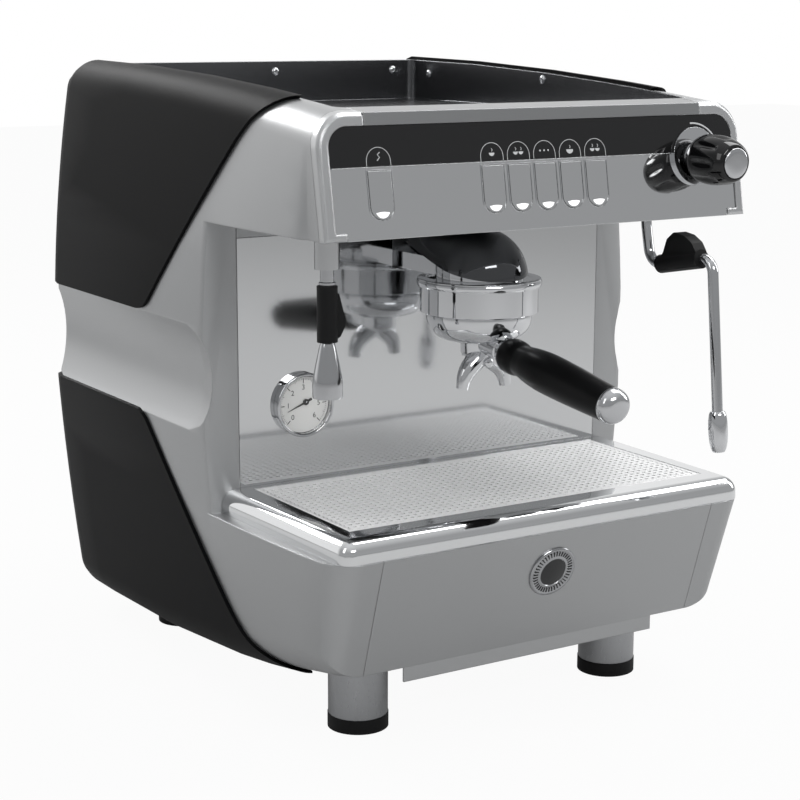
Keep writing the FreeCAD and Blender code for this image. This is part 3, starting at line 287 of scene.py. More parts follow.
# Bright annealed stainless: a clear mirror with a trace of cloud in it.
bright = metal("bright annealed stainless steel", "#C9CACC", 0.1, 0.02, 1.5, 0.0, 0.7)
# The rail is a satin strip, a shade darker than the sheets that it joins.
dressed("head_top_rail", metal("satin rail steel", "#9FA0A1", 0.3, 0.02, 0.9, 0.0, 1.0))
# The corner trims are polished castings, paler than the lacquer and rounded like a bead.
trim_steel = metal("polished trim casting", "#C6C7C8", 0.3, 0.02, 1.5, 0.0, 2.4)
for node in ("corner_trim_left", "corner_trim_right"):
    dressed(node, trim_steel)
# Brushed stainless: mid grey, its fine lines drawn along the walls.
tray_steel = metal("brushed stainless sheet", "#747577", 0.22, 0.02, 0.8, 0.0, 0.8,
                   stretch=(0.08, 0.08, 1.0))
dressed("cup_tray", tray_steel)


def lathe(profile, start, axis, steps=64, across=Vector((1, 0, 0))):
    """Points and faces of a form turned from (radius, distance) pairs along an axis."""
    axis = axis.normalized()
    other = axis.cross(across).normalized()
    across = other.cross(axis)
    points = []
    rings = []
    for radius, along in profile:
        centre = start + axis * (along / 1000)
        if radius < 0.01:
            rings.append([len(points)])
            points.append(centre)
            continue
        ring = []
        for i in range(steps):
            t = 2 * math.pi * i / steps
            ring.append(len(points))
            points.append(centre + (across * math.cos(t) + other * math.sin(t)) * (radius / 1000))
        rings.append(ring)
    faces = []
    for a, b in zip(rings, rings[1:]):
        for i in range(steps):
            j = (i + 1) % steps
            corners = [a[i % len(a)], a[j % len(a)], b[j % len(b)], b[i % len(b)]]
            corners = [c for k, c in enumerate(corners) if c not in corners[:k]]
            if len(corners) > 2:
                faces.append(corners)
    return points, faces


def made(name, forms, material, body, slot, stands_for=(), angle=35):
    """One piece from several (points, faces) forms, closed, facing outwards and on its body."""
    points = []
    faces = []
    for some_points, some_faces in forms:
        faces += [[i + len(points) for i in face] for face in some_faces]
        points += [tuple(p) for p in some_points]
    mesh = bpy.data.meshes.new(name)
    mesh.from_pydata(points, [], faces)
    form = bmesh.new()
    form.from_mesh(mesh)
    bmesh.ops.remove_doubles(form, verts=form.verts, dist=1e-6)
    bmesh.ops.recalc_face_normals(form, faces=form.faces)
    soften(form, angle)
    form.to_mesh(mesh)
    form.free()
    mesh.materials.append(material)
    piece = bpy.data.objects.new(name, mesh)
    bpy.context.scene.collection.objects.link(piece)
    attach(piece, body)
    if stands_for:
        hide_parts(*stands_for)
    return piece


# One screw is turned as a mesh and repeated by a small node tree that stands it on each place.
head_outline = [(0, -0.3), (3.9, -0.3), (4.0, 0.6), (3.4, 1.6), (2.3, 2.2), (1.5, 2.3), (1.4, 1.3),
                (0, 1.2)]
head_points, head_faces = lathe(head_outline, Vector((0, 0, 0)), Vector((0, 0, 1)), 20)
screw_head = bpy.data.meshes.new("screw_head")
screw_head.from_pydata(head_points, [], head_faces)
screw_head_object = bpy.data.objects.new("screw_head", screw_head)


def frozen(holder, maker):
    """The mesh that a node tree makes on its holder. The holder then goes."""
    graph = bpy.context.evaluated_depsgraph_get()
    mesh = bpy.data.meshes.new_from_object(holder.evaluated_get(graph))
    if maker:
        holder.modifiers.remove(maker)
    bpy.data.objects.remove(holder)
    return mesh


def repeated(name, places, single, material, body, stands_for):
    """A mesh of like pieces, one on each (place, direction), by a Geometry Nodes tree."""
    cloud = bpy.data.meshes.new(name + "_places")
    cloud.from_pydata([tuple(p) for p, way in places], [], [])
    ways = cloud.attributes.new("way", "FLOAT_VECTOR", "POINT")
    for i, (place, way) in enumerate(places):
        ways.data[i].vector = way
    holder = bpy.data.objects.new(name + "_maker", cloud)
    bpy.context.scene.collection.objects.link(holder)
    tree = bpy.data.node_groups.new(name + "_tree", "GeometryNodeTree")
    tree.interface.new_socket("Places", in_out="INPUT", socket_type="NodeSocketGeometry")
    pattern = tree.interface.new_socket("Piece", in_out="INPUT", socket_type="NodeSocketObject")
    tree.interface.new_socket("Pieces", in_out="OUTPUT", socket_type="NodeSocketGeometry")
    inputs = add(tree, "NodeGroupInput")
    info = add(tree, "GeometryNodeObjectInfo", {"Object": inputs.outputs["Piece"]})
    way = add(tree, "GeometryNodeInputNamedAttribute", {"Name": "way"}, data_type="FLOAT_VECTOR")
    turned = add(tree, "FunctionNodeAlignRotationToVector", {"Vector": way.outputs["Attribute"]},
                 axis="Z")
    stood = add(tree, "GeometryNodeInstanceOnPoints",
                {"Points": inputs.outputs["Places"], "Instance": info.outputs["Geometry"],
                 "Rotation": turned.outputs[0]})
    real = add(tree, "GeometryNodeRealizeInstances", {"Geometry": stood.outputs[0]})
    dress = add(tree, "GeometryNodeSetMaterial",
                {"Geometry": real.outputs[0], "Material": material})
    add(tree, "NodeGroupOutput", {0: dress.outputs[0]})
    maker = holder.modifiers.new("maker", "NODES")
    maker.node_group = tree
    maker[pattern.identifier] = single
    mesh = frozen(holder, maker)
    piece = bpy.data.objects.new(name, mesh)
    bpy.context.scene.collection.objects.link(piece)
    for face in mesh.polygons:
        face.use_smooth = True
    mesh.set_sharp_from_angle(angle=math.radians(35))
    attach(piece, body)
    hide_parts(*stands_for)


rear_wall, rear_level = 293.0, 524.5
side_wall, side_level = 172.0, 521.0
places = [(at(x, rear_wall, rear_level), Vector((0, -1, 0))) for x in (-147.0, 10.0, 147.0)]
places += [(at(s * side_wall, y, side_level), Vector((-s, 0, 0))) for s in (-1, 1)
           for y in (67.0, 262.0)]
repeated("tray_screws", places, screw_head_object, bright, "housing",
         ("guard_screws",))

# Label band: a strip of black back-printed glass with a thin pale arch and a small pictogram over
# each key, and a pale sweep beside the steam hand wheel.

# Black back-printed glass: deep black under a hard gloss.
glass_black = finish_of("black back-printed glass", Base_Color=linear("#161617"), Roughness=0.06,
                        IOR=1.5)[0]
dressed("label_band", glass_black)
# Screen-printing ink: flat, pale, with a little less gloss than the glass.
ink = finish_of("pale screen-printing ink", Base_Color=linear("#C9CACB"), Roughness=0.5)[0]
lean = math.radians(10.0)
head_face_y, head_low_z = -178.6, 415.0


def front(u, v, depth):
    """A point on the leaning head front: across, up from its lower edge, and in from its face."""
    return at(u, head_face_y + depth * math.cos(lean) + v * math.sin(lean),
              head_low_z - depth * math.sin(lean) + v * math.cos(lean))


def ribbon(line, wide, depth, rise=0.05, closed=False):
    """A thin raised strip along a line on the head front."""
    points = []
    faces = []
    last = len(line) - 1
    for i, (u, v) in enumerate(line):
        before = line[i - 1] if i or closed else line[0]
        after = line[(i + 1) % len(line)] if i < last or closed else line[last]
        du, dv = after[0] - before[0], after[1] - before[1]
        long = math.hypot(du, dv) or 1.0
        nu, nv = -dv / long * wide / 2, du / long * wide / 2
        for side, deep in ((-1, depth), (1, depth), (1, depth - rise), (-1, depth - rise)):
            points.append(front(u + side * nu, v + side * nv, deep))
    count = len(line) if closed else last
    for i in range(count):
        a, b = 4 * i, 4 * ((i + 1) % len(line))
        faces += [[a + k, a + (k + 1) % 4, b + (k + 1) % 4, b + k] for k in range(4)]
    if not closed:
        faces += [[0, 1, 2, 3], [4 * last + k for k in range(4)]]
    return points, faces


def bow(u, v, radius, first, final, steps=24):
    """Points along part of a circle on the head front, in degrees."""
    turns = [math.radians(first + (final - first) * i / steps) for i in range(steps + 1)]
    return [(u + radius * math.cos(t), v + radius * math.sin(t)) for t in turns]


def blot(line, depth, rise=0.05):
    """A filled printed shape on the head front."""
    count = len(line)
    points = [front(u, v, depth) for u, v in line] + [front(u, v, depth - rise) for u, v in line]
    faces = [list(range(count)), list(range(count, 2 * count))]
    faces += [[i, (i + 1) % count, count + (i + 1) % count, count + i] for i in range(count)]
    return points, faces


lone_key, key_pitch = -154.0, 25.3
key_places = [lone_key] + [key_pitch * (i - 2) for i in range(5)]
print_depth = 0.4
arch_half, arch_low, arch_spring = 10.6, 55.2, 58.6
prints = []
for number, u in enumerate(key_places):
    arch = [(u + arch_half, arch_low)] + bow(u, arch_spring, arch_half, 0, 180)
    prints.append(ribbon(arch + [(u - arch_half, arch_low)], 0.45, print_depth))
    if number == 0:
        flash = [(u + 1.6, 65.5), (u - 0.6, 63.6), (u + 1.2, 61.6), (u - 1.2, 59.2)]
        prints.append(ribbon(flash, 0.7, print_depth))
    elif number == 3:
        prints += [blot(bow(u + k, 61.5, 0.75, 0, 330, 11), print_depth) for k in (-4.0, 0.0, 4.0)]
    else:
        cups, reach = {1: ((0.0,), 2.6), 4: ((0.0,), 3.4)}.get(number, ((-2.6, 2.6), 2.3))
        for k in cups:
            prints.append(blot(bow(u + k, 61.4, reach, 180, 360, 12), print_depth))
            steam = [(u + k, 62.4), (u + k + 0.8, 63.6), (u + k, 64.8)]
            prints.append(ribbon(steam, 0.5, print_depth))
wheel_across, wheel_up = 155.0, 51.0
sweep = bow(wheel_across, wheel_up, 27.6, 95, 8, 40)
prints.append(ribbon(sweep, 1.3, print_depth))
made("band_print", prints, ink, "housing", slot_of["label_band"])

# Push buttons: tongue-shaped keys of silver painted ABS, each in a thin bright rim, with a small
# milky light guide at its lower end.

# Silver painted ABS: the panel's grey, softer and a little duller.
key_silver = metal("silver painted ABS", "#D6D7D8", 0.07, 0.01, 0.9, 0.0, 0.5)
for number in range(1, 7):
    dressed("button_%d" % number, key_silver)


def tongue(u, grow):
    """Outline of a key: straight top, half-round lower end."""
    half, top, turn_level = 10.0 + grow, 51.5 + grow, 25.0
    return [(u - half, top)] + bow(u, turn_level, half, 180, 360, 28) + [(u + half, top)]


# The rim is rolled from the panel itself, bright on its crest with a dark joint inside it.
rim_steel = metal("rolled bright rim", "#D2D3D4", 0.15, 0.02, 1.0, 0.0, 0.3)
rims = [ribbon(tongue(u, 0.95), 0.7, 1.25, 0.75, True) for u in key_places]
made("key_rims", rims, rim_steel, "housing", slot_of["head_front_panel"])
# The panel's edge shows under the band as a thin bright line, up to the hand wheel's collar.
band_from, band_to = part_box("label_band")
edge_level = (band_from.z * 1000 - head_low_z) / math.cos(lean) - 0.35
band_edge = [(band_from.x * 1000 + 1.0, edge_level), (band_to.x * 1000 - 22.0, edge_level)]
made("band_edge", [ribbon(band_edge, 0.8, 1.0, 0.65)], rim_steel, "housing",
     slot_of["head_front_panel"])
# Milky polycarbonate: white and soft at its edge, with an emission that makes it glow, a painted
# highlight for the bright spot at each key's lower end.
glowing_guide_finish = finish_of("milky polycarbonate light guide", Base_Color=linear("#FFFFFF"), Roughness=0.3,
                  Emission_Color=(1, 1, 1, 1), Emission_Strength=0.55)[0]
guide_level, guide_radius, guide_middle = 22.4, 6.4, 21.0


def lens(u):
    """Half-round light guide, domed, at a key's lower end."""
    foot = bow(u, guide_level, guide_radius, 200, 340, 20)
    rows = []
    for share, rise in ((1.0, 0.0), (0.9, 0.35), (0.6, 0.6), (0.25, 0.7)):
        rows.append([front(u + (a - u) * share, guide_middle + (b - guide_middle) * share,
                           0.45 - rise) for a, b in foot])
    points = [p for row in rows for p in row]
    wide = len(rows[0])
    faces = []
    for low in range(0, 3 * wide, wide):
        for i in range(wide):
            j = (i + 1) % wide
            faces.append([low + i, low + j, low + wide + j, low + wide + i])
    return points, faces + [list(range(3 * wide, 4 * wide)), list(range(wide))]


for number, u in enumerate(key_places):
    made("light_guide_%d" % (number + 1), [lens(u)], glowing_guide_finish, "button_%d" % (number + 1),
         slot_of["button_1"])

# Steam hand wheel: a barrel of polished black phenolic with eight finger hollows, pressed on a
# steel stem, with a chromed cap let into its end. It turns in a chromed collar on the head.

# Chrome on turned brass: a hard, cold mirror.
chrome = metal("chrome plated brass", "#D3D4D6", 0.06, 0.015, 2.0, 0.0, 0.35)
dressed("steam_escutcheon", chrome)
dressed("steam_valve", metal("turned brass", "#B79A5B", 0.25, 0.05, 1.0, 0.01))
wheel_start = at(wheel_across, -168.5622, 465.0168)
droop_degrees = 2.6
droop = math.radians(droop_degrees)
wheel_axis = Vector((0, -math.cos(droop), -math.sin(droop)))


def eased(knots, steps):
    """A smooth outline through a few (radius, distance) knots."""
    outline = []
    for i in range(len(knots) - 1):
        p = [knots[max(i - 1, 0)], knots[i], knots[i + 1], knots[min(i + 2, len(knots) - 1)]]
        for k in range(steps):
            t = k / steps
            outline.append(tuple(
                0.5 * (2 * b + (c - a) * t + (2 * a - 5 * b + 4 * c - d) * t * t
                       + (3 * b - a - 3 * c + d) * t ** 3) for a, b, c, d in zip(*p)))
    return outline + [knots[-1]]


wheel_knots = [(13.6, 7.0), (17.4, 9.4), (20.0, 15.5), (20.9, 25.9), (20.2, 35.0), (18.4, 43.0),
               (15.6, 49.6), (13.6, 51.2)]
profile = [(0, 7.2), (12.6, 7.0)] + eased(wheel_knots, 7)
profile += [(12.75, 50.9), (12.7, 49.6), (0, 49.6)]
wheel_points, wheel_faces = lathe(profile, Vector((0, 0, 0)), Vector((0, 0, 1)), 160)
# The finger hollows: one every 45 degrees, deepest in its middle and gone at both its ends.
hollow_pitch, hollow_first, hollow_width = 45, 5, 8.5
hollow_deep, hollow_middle, hollow_reach = 3.0, 30.0, 13.0
shaped = []
for p in wheel_points:
    radius = math.hypot(p.x, p.y) * 1000
    if radius > 14 and p.z * 1000 > 10:
        angle = math.degrees(math.atan2(p.y, p.x))
        away = (angle - hollow_first + hollow_pitch / 2) % hollow_pitch - hollow_pitch / 2
        along = (p.z * 1000 - hollow_middle) / hollow_reach
        depth = (hollow_deep * math.exp(-(away / hollow_width) ** 2)
                 * max(0.0, 1 - along * along) ** 0.7)
        p = Vector((p.x * (1 - depth / radius), p.y * (1 - depth / radius), p.z))
    shaped.append(p)
stand = (Matrix.Translation(wheel_start)
         @ Matrix.Rotation(math.radians(90 + droop_degrees), 4, "X"))
wheel = ([stand @ p for p in shaped], wheel_faces)
stem = lathe([(0, -26), (4.0, -26), (4.0, 8.0), (0, 8.0)], wheel_start, wheel_axis, 32)
# Polished phenolic: jet black with sharp small highlights.
phenolic = finish_of("polished black phenolic", Base_Color=linear("#060607"), Roughness=0.07,
                     IOR=1.5)[0]
made("hand_wheel", [wheel], phenolic, "steam_knob", slot_of["steam_knob"], ("steam_knob",), 50)
made("hand_wheel_stem", [stem], chrome, "steam_knob", slot_of["steam_knob_cap"])
cap_knots = [(12.4, 50.0), (12.4, 51.4), (11.8, 52.3), (9.0, 52.8), (4.5, 53.0), (0.0, 53.0)]
cap_profile = [(0, 49.7), (12.3, 49.7)] + eased(cap_knots, 4)
# Satin chrome on the cap: the same plate, softer than the collar's.
made("hand_wheel_cap", [lathe(cap_profile, wheel_start, wheel_axis, 72)],
     metal("satin chromed cap", "#C4C5C7", 0.12, 0.02, 1.0, 0.0), "steam_knob",
     slot_of["steam_knob_cap"], ("steam_knob_cap",), 50)

# Steam wand: a bent stainless tube in its swivel nut, with a moulded rubber grip. The tip is
# turned anew here, with a rounder outline and an open mouth.

dressed("wand_nut", chrome)
dressed("steam_wand", metal("polished stainless tube", "#C6C7C9", 0.1, 0.02, 1.5, 0.0), 40)
# Moulded rubber: black with a dusty, soft gloss.
rubber = moulded("moulded black rubber", "#0C0C0D", "ShaderNodeTexNoise", "Fac", 0.6, 0.1, 0.2,
                 Roughness=0.55, Specular_IOR_Level=0.22)
dressed("wand_grip", rubber, 40)
elbow = at(145.0, -121.5, 413.0)
tip_start = elbow + Vector((0, -0.0985, -0.155))
tip_axis = Vector((0, -0.013, -0.127)).normalized()
tip_knots = [(6.0, 0.0), (7.2, 3.0), (8.0, 9.0), (8.1, 17.0), (7.6, 25.0), (6.4, 31.0),
             (5.0, 34.0)]
tip_outline = [(0, 0.0)] + eased(tip_knots, 5) + [(3.6, 34.4), (3.0, 33.0), (0, 33.0)]
made("steam_tip", [lathe(tip_outline, tip_start, tip_axis)], chrome, "wand",
     slot_of["wand_nozzle"], ("wand_nozzle",), 50)

# Hot-water outlet: a chromed spigot under the head, a turned bell-mouthed neck that swivels in it,
# and a rubber sleeve with a finger rest.

dressed("water_fitting", metal("satin chromed spigot", "#C0C1C2", 0.2, 0.02, 1.0, 0.0, 0.6))
bell_low = at(-171.0, -120.0, 286.0)
bell_knots = [(11.6, 0.0), (12.0, 0.6), (12.1, 6.0), (11.9, 13.0), (10.6, 21.0), (8.6, 31.0),
              (6.6, 40.0), (5.5, 44.0)]
# The neck rises to a small bead under the spigot, and the bore comes back down inside it.
bell_rest = [(5.5, 88.6), (6.6, 89.4), (6.6, 91.0), (5.5, 91.8), (5.5, 110.0), (3.0, 110.0),
             (3.0, 36.0), (9.5, 12.0), (10.6, 1.0), (10.9, 0.1), (11.6, 0.0)]
made("outlet_bell", [lathe(eased(bell_knots, 5) + bell_rest, bell_low, Vector((0, 0, 1)))],
     metal("satin chromed bell", "#B9BABC", 0.13, 0.02, 1.0, 0.0), "water_outlet",
     slot_of["water_spout"], ("water_spout",), 50)
dressed("water_sleeve", rubber, 40)

# Pressure gauge: a chromed case with a rolled bezel, a white enamelled dial under a flat glass,
# and a black lacquered needle on its pin.

dressed("gauge_case", metal("chromed gauge case", "#B4B5B7", 0.12, 0.02, 1.0, 0.0, 0.5))
gauge_across, gauge_up = -126.6, 254.8
dial_middle = at(gauge_across, -2.05, gauge_up)
outward = Vector((0, -1, 0))
# White enamel: clean, faintly warm, with a soft gloss.
enamel = finish_of("white enamelled dial", Base_Color=linear("#F4F4F2"), Roughness=0.4)[0]
dial_outline = [(0, 0), (24.3, 0), (24.3, 0.15), (0, 0.15)]
made("dial_face", [lathe(dial_outline, dial_middle, outward, 72)], enamel, "housing",
     slot_of["gauge_case"])
bezel = eased([(24.7, 6.4), (25.3, 7.3), (26.6, 7.5), (27.5, 6.6), (27.6, 5.0)], 5)
bezel += [(27.5, 0.4), (27.3, 0.4), (27.3, 4.6), (24.7, 4.6), (24.7, 6.4)]
made("gauge_bezel", [lathe(bezel, at(gauge_across, 0.0, gauge_up), outward, 96)],
     metal("rolled bezel", "#BFC0C2", 0.08, 0.015, 1.0, 0.0), "housing", slot_of["gauge_case"])
# Dial printing: matt black, thin.
dial_ink = finish_of("matt black dial printing", Base_Color=linear("#1A1A1A"), Roughness=0.6)[0]
dial_first, dial_sweep = 225, 270
marks = []
for i in range(61):
    t = math.radians(dial_first - dial_sweep * i / 60)
    inner, half = (18.4, 0.35) if i % 10 == 0 else (20.3, 0.2) if i % 5 == 0 else (21.2, 0.14)
    ray = Vector((math.cos(t), 0, math.sin(t)))
    across = Vector((-ray.z, 0, ray.x)) * (half / 1000)
    base = dial_middle + outward * 0.00018
    corners = [base + ray * (inner / 1000) - across, base + ray * (inner / 1000) + across,
               base + ray * 0.0224 + across, base + ray * 0.0224 - across]
    points = corners + [p + outward * 0.00005 for p in corners]
    marks.append((points, [[0, 1, 2, 3], [7, 6, 5, 4], [0, 4, 5, 1], [1, 5, 6, 2], [2, 6, 7, 3],
                           [3, 7, 4, 0]]))
for i in range(7):
    t = math.radians(dial_first - dial_sweep * i / 6)
    figure = bpy.data.curves.new("figure", "FONT")
    figure.body = str(i)
    figure.size = 0.0062
    figure.align_x = "CENTER"
    figure.align_y = "CENTER"
    figure.extrude = 0.00003
    holder = bpy.data.objects.new("figure", figure)
    bpy.context.scene.collection.objects.link(holder)
    flat = frozen(holder, None)
    place = dial_middle + Vector((math.cos(t), 0, math.sin(t))) * 0.0148 + outward * 0.00021
    flat.transform(Matrix.Translation(place) @ Matrix.Rotation(math.radians(90), 4, "X"))
    marks.append(([v.co.copy() for v in flat.vertices], [list(f.vertices) for f in flat.polygons]))
made("dial_print", marks, dial_ink, "housing", slot_of["gauge_case"])
# Flat mineral glass over the dial: clear, with one thin reflection.
clear, tree, shader = finish_of("clear mineral glass", Base_Color=(1, 1, 1, 1), Roughness=0.0,
                                IOR=1.45, Transmission_Weight=1.0)
bypass = add(tree, "ShaderNodeBsdfTransparent")
edge = add(tree, "ShaderNodeFresnel", {"IOR": 1.3})
shine = add(tree, "ShaderNodeBsdfGlossy", {"Color": (1, 1, 1, 1), "Roughness": 0.02})
pane = add(tree, "ShaderNodeMixShader", {0: edge.outputs[0], 1: bypass.outputs[0],
                                         2: shine.outputs[0]})
tree.links.new(pane.outputs[0], tree.nodes["Material Output"].inputs["Surface"])
dressed("gauge_lens", clear)
# Black lacquer on the needle: thin, even, half gloss.
dressed("gauge_needle", finish_of("black lacquered needle", Base_Color=linear("#0E0E0F"),
                                  Roughness=0.35)[0])

# Brewing group: a cast head under a deep-drawn hood of glossy grey lacquered steel, open below,
# and a chromed flange with the collar that the filter holder locks into.

dressed("group_gasket", rubber)
dressed("shower_screen", bright)
# Glossy grey lacquer: dark, wet-looking, with long clear reflections of what stands round it.
hood_grey = metal("glossy grey lacquered steel", "#5A5B5D", 0.06, 0.01, 2.0, 0.0, metallic=0.95)
hood_wide, hood_tall, hood_base = 41.0, 42.0, 364.0
hood_low, hood_rise, hood_nose, hood_straight = 364.8, 0.235, -121.0, -80.0
hood_close, hood_turns = 88.4, 44


def hood_row(depth, share):
    """One arch of the hood over the group, from its left lower edge over the top to the right."""
    low = hood_low + hood_rise * (depth - hood_nose)
    wide, tall = hood_wide * share, hood_tall * share
    first = math.asin(min((low - hood_base) / tall, 0.999))
    turns = [first + (math.pi - 2 * first) * k / 40 for k in range(41)]
    return [at(-wide * math.cos(t), depth, hood_base + tall * math.sin(t)) for t in turns]


rows = [hood_row(depth, 1.0) for depth in (-0.4, -20.0, -40.0, -60.0)]
for k in range(hood_turns + 1):
    turn = math.radians(hood_close * k / hood_turns)
    rows.append(hood_row(hood_straight - hood_wide * math.sin(turn), math.cos(turn)))
count = len(rows[0])
hood_points = [p for row in rows for p in row]
hood_faces = [[r * count + i, r * count + i + 1, (r + 1) * count + i + 1, (r + 1) * count + i]
              for r in range(len(rows) - 1) for i in range(count - 1)]
hood_faces.append([(len(rows) - 1) * count + i for i in range(count)])
hood = made("hood_shell", [(hood_points, hood_faces)], hood_grey, "housing", slot_of["group_hood"],
            ("group_hood",), 60)
wall = hood.modifiers.new("wall", "SOLIDIFY")
wall.thickness = 0.0016
wall.offset = -1.0
flange_chrome = metal("chrome plated flange", "#D3D4D6", 0.04, 0.01, 2.0, 0.0, 0.6)
dressed("group_ring", flange_chrome, 40)
group_middle = at(0.0, -80.0, 0.0)
upwards = Vector((0, 0, 1))
bead = eased([(50.2, 357.3), (51.6, 357.7), (52.5, 359.0), (52.8, 360.8), (52.4, 362.6),
              (51.4, 363.9), (50.0, 364.2)], 5)
bead += [(44.0, 364.2), (44.0, 357.3), (50.2, 357.3)]
made("flange_bead", [lathe(bead, group_middle, upwards, 128)], flange_chrome, "housing",
     slot_of["group_ring"])


def block(low, high, bevel):
    """A block with bevelled edges along its length, from two corners in millimetres."""
    ring = [(low[0] + bevel, high[2]), (low[0], high[2] - bevel), (low[0], low[2]),
            (high[0], low[2]), (high[0], high[2] - bevel), (high[0] - bevel, high[2])]
    points = [at(x, y, z) for y in (low[1], high[1]) for x, z in ring]
    count = len(ring)
    faces = [list(range(count)), list(range(count, 2 * count))]
    for i in range(count):
        j = (i + 1) % count
        faces.append([i, j, count + j, count + i])
    return points, faces


neck_outline = [(0, 364.0), (37.2, 364.0), (37.2, 374.5), (34.0, 380.0), (28.0, 386.0), (0, 386.0)]
casting = [lathe(neck_outline, group_middle, upwards, 96),
           block((-31.0, -80.0, 366.0), (31.0, 5.0, 386.0), 6.0)]
made("group_casting", casting, chrome, "housing", slot_of["group_body"], ("group_body",), 40)

# Filter holder: a chromed brass bowl with locking ears, its neck and twin spout, a black phenolic
# handle with a waist behind the bowl, and a chromed end cap.

holder_bowl = dressed("portafilter_body", chrome, 40)
# Only the bowl's upper part is kept of that form: a rounder underside is turned below.
bowl_cut = 0.3172
form = bmesh.new()
form.from_mesh(holder_bowl.data)
whole = form.verts[:] + form.edges[:] + form.faces[:]
bmesh.ops.bisect_plane(form, geom=whole, plane_co=(0, 0, bowl_cut), plane_no=(0, 0, 1),
                       clear_inner=True)
bmesh.ops.holes_fill(form, edges=[edge for edge in form.edges if edge.is_boundary], sides=0)
form.to_mesh(holder_bowl.data)
form.free()
dressed("portafilter_basket", bright)
bowl_round = eased([(44.0, 335.3), (44.9, 334.4), (44.8, 329.5), (43.0, 323.0), (39.0, 317.6),
                    (33.0, 313.7), (26.0, 311.5), (19.0, 310.8)], 5)
boss = [(15.4, 309.8), (15.2, 300.5), (14.4, 298.2), (12.0, 296.6), (0, 296.2)]
bowl_outline = [(0, 317.6), (36.1, 317.6), (36.1, 335.3)] + bowl_round + boss
bowl_shell = lathe(bowl_outline, group_middle, upwards, 128)


def arm(side):
    """One arm of the twin spout: it bows out from the boss, turns down and ends open."""
    knots = [(side * 1.0, -86.0, 301.0, 9.0), (side * 8.5, -87.2, 294.5, 8.8),
             (side * 15.6, -88.0, 288.0, 7.8), (side * 20.2, -88.4, 280.5, 6.5),
             (side * 22.0, -88.6, 272.0, 5.4)]
    line = eased(knots, 7)
    back = Vector((0, 1, 0))
    steps = 28
    points = []
    # Two more rings inside the mouth make its bore: a wall less in radius, and the last far up.
    bore = [(len(line) - 1, 1.2), (len(line) - 8, 2.4)]
    for i, less in [(i, 0.0) for i in range(len(line))] + bore:
        x, y, z, radius = line[i]
        if not less:
            course = Vector(line[min(i + 1, len(line) - 1)][:3]) - Vector(line[max(i - 1, 0)][:3])
            out = course.normalized().cross(back).normalized()
        for k in range(steps):
            t = 2 * math.pi * k / steps
            points.append(at(x, y, z)
                          + (out * math.cos(t) + back * math.sin(t)) * ((radius - less) / 1000))
    last = len(points) - steps
    faces = []
    for low in range(0, last, steps):
        for k in range(steps):
            j = (k + 1) % steps
            faces.append([low + k, low + j, low + steps + j, low + steps + k])
    return points, faces + [list(range(steps)), list(range(last, last + steps))]


spout_screw = lathe([(0, -2.0), (4.3, -2.0), (4.4, 0.6), (3.6, 1.7), (1.6, 2.3), (0, 2.4)],
                    at(0.0, -95.6, 293.2), Vector((0, -1, 0)), 28)
handle_start = at(0.0, -123.0, 305.4)
slope = math.radians(8.1)
handle_axis = Vector((0, -math.cos(slope), -math.sin(slope)))
handle_knots = [(11.0, 0.0), (13.4, 1.4), (14.7, 5.0), (14.9, 10.0), (14.7, 14.5), (13.6, 19.0),
                (13.3, 22.0), (14.0, 28.0), (15.3, 37.0), (16.4, 50.0), (16.6, 62.0), (16.2, 85.0),
                (15.3, 110.0), (14.3, 134.0), (14.0, 136.9)]
neck = lathe([(0, -30), (9.6, -30), (9.6, -9.0), (8.4, -8.2), (8.4, -5.0), (11.0, -4.0),
              (11.2, 0.5), (0, 0.5)], handle_start, handle_axis, 48)
made("holder_underside", [bowl_shell, arm(-1), arm(1), spout_screw, neck], chrome, "portafilter",
     slot_of["portafilter_body"], (), 40)
# Black phenolic moulding: deep black with a broad, soft sheen along the top.
handle_black = moulded("satin black phenolic", "#060607", "ShaderNodeTexNoise", "Fac", 1.2, 0.04,
                       0.2, Roughness=0.3, Specular_IOR_Level=0.14)
grip_outline = [(0, 0)] + eased(handle_knots, 6) + [(0, 136.9)]
made("holder_grip", [lathe(grip_outline, handle_start, handle_axis, 96)], handle_black,
     "portafilter", slot_of["portafilter_handle"], ("portafilter_handle",), 50)
dome = eased([(14.3, 137.3), (14.5, 138.4), (14.3, 141.0), (12.8, 145.0), (9.2, 148.3),
              (4.6, 149.4), (0.0, 149.5)], 6)
made("holder_end_cap", [lathe([(0, 137.0), (13.9, 137.0)] + dome, handle_start, handle_axis, 96)],
     metal("satin chromed dome", "#C6C7C9", 0.14, 0.02, 1.0, 0.0), "portafilter",
     slot_of["handle_cap"], ("handle_cap",), 50)

# Splash: one bright ground sheet behind the cups, a dull mirror for the group in front of it. Its
# grain runs upright.

dressed("splash_panel", metal("ground stainless sheet", "#CFD0D1", 0.075, 0.01, 0.5, 0.0,
                              stretch=(1.0, 1.0, 0.05)))

# Drip tray: a deep-drawn polished frame with a broad round edge, a welded wire-and-strip grille
# let into it, and the folded bin below.

# Mirror polish on the frame: its round edge gathers the whole studio into a few long lights.
mirror_steel = metal("mirror polished stainless steel", "#DEDFE0", 0.05, 0.015, 1.5, 0.0, 0.6)
dressed("drip_tray_frame", mirror_steel, 40)
dressed("drip_tray_bin", metal("pressed stainless tray", "#8D8E90", 0.3, 0.03, 1.0, 0.01))
# Ground stainless strip: pale and a little dull, so that the grille reads lighter than its frame.
strip_steel = metal("ground stainless strip", "#FAFAFA", 0.42, 0.04, 0.8, 0.0, 0.3, 0.15)
grille_left, grille_right = -178.0, 178.0
grille_front, grille_back = -165.0, -8.6
grille_top = 188.5
middle_x = (grille_left + grille_right) / 2
middle_y = (grille_front + grille_back) / 2


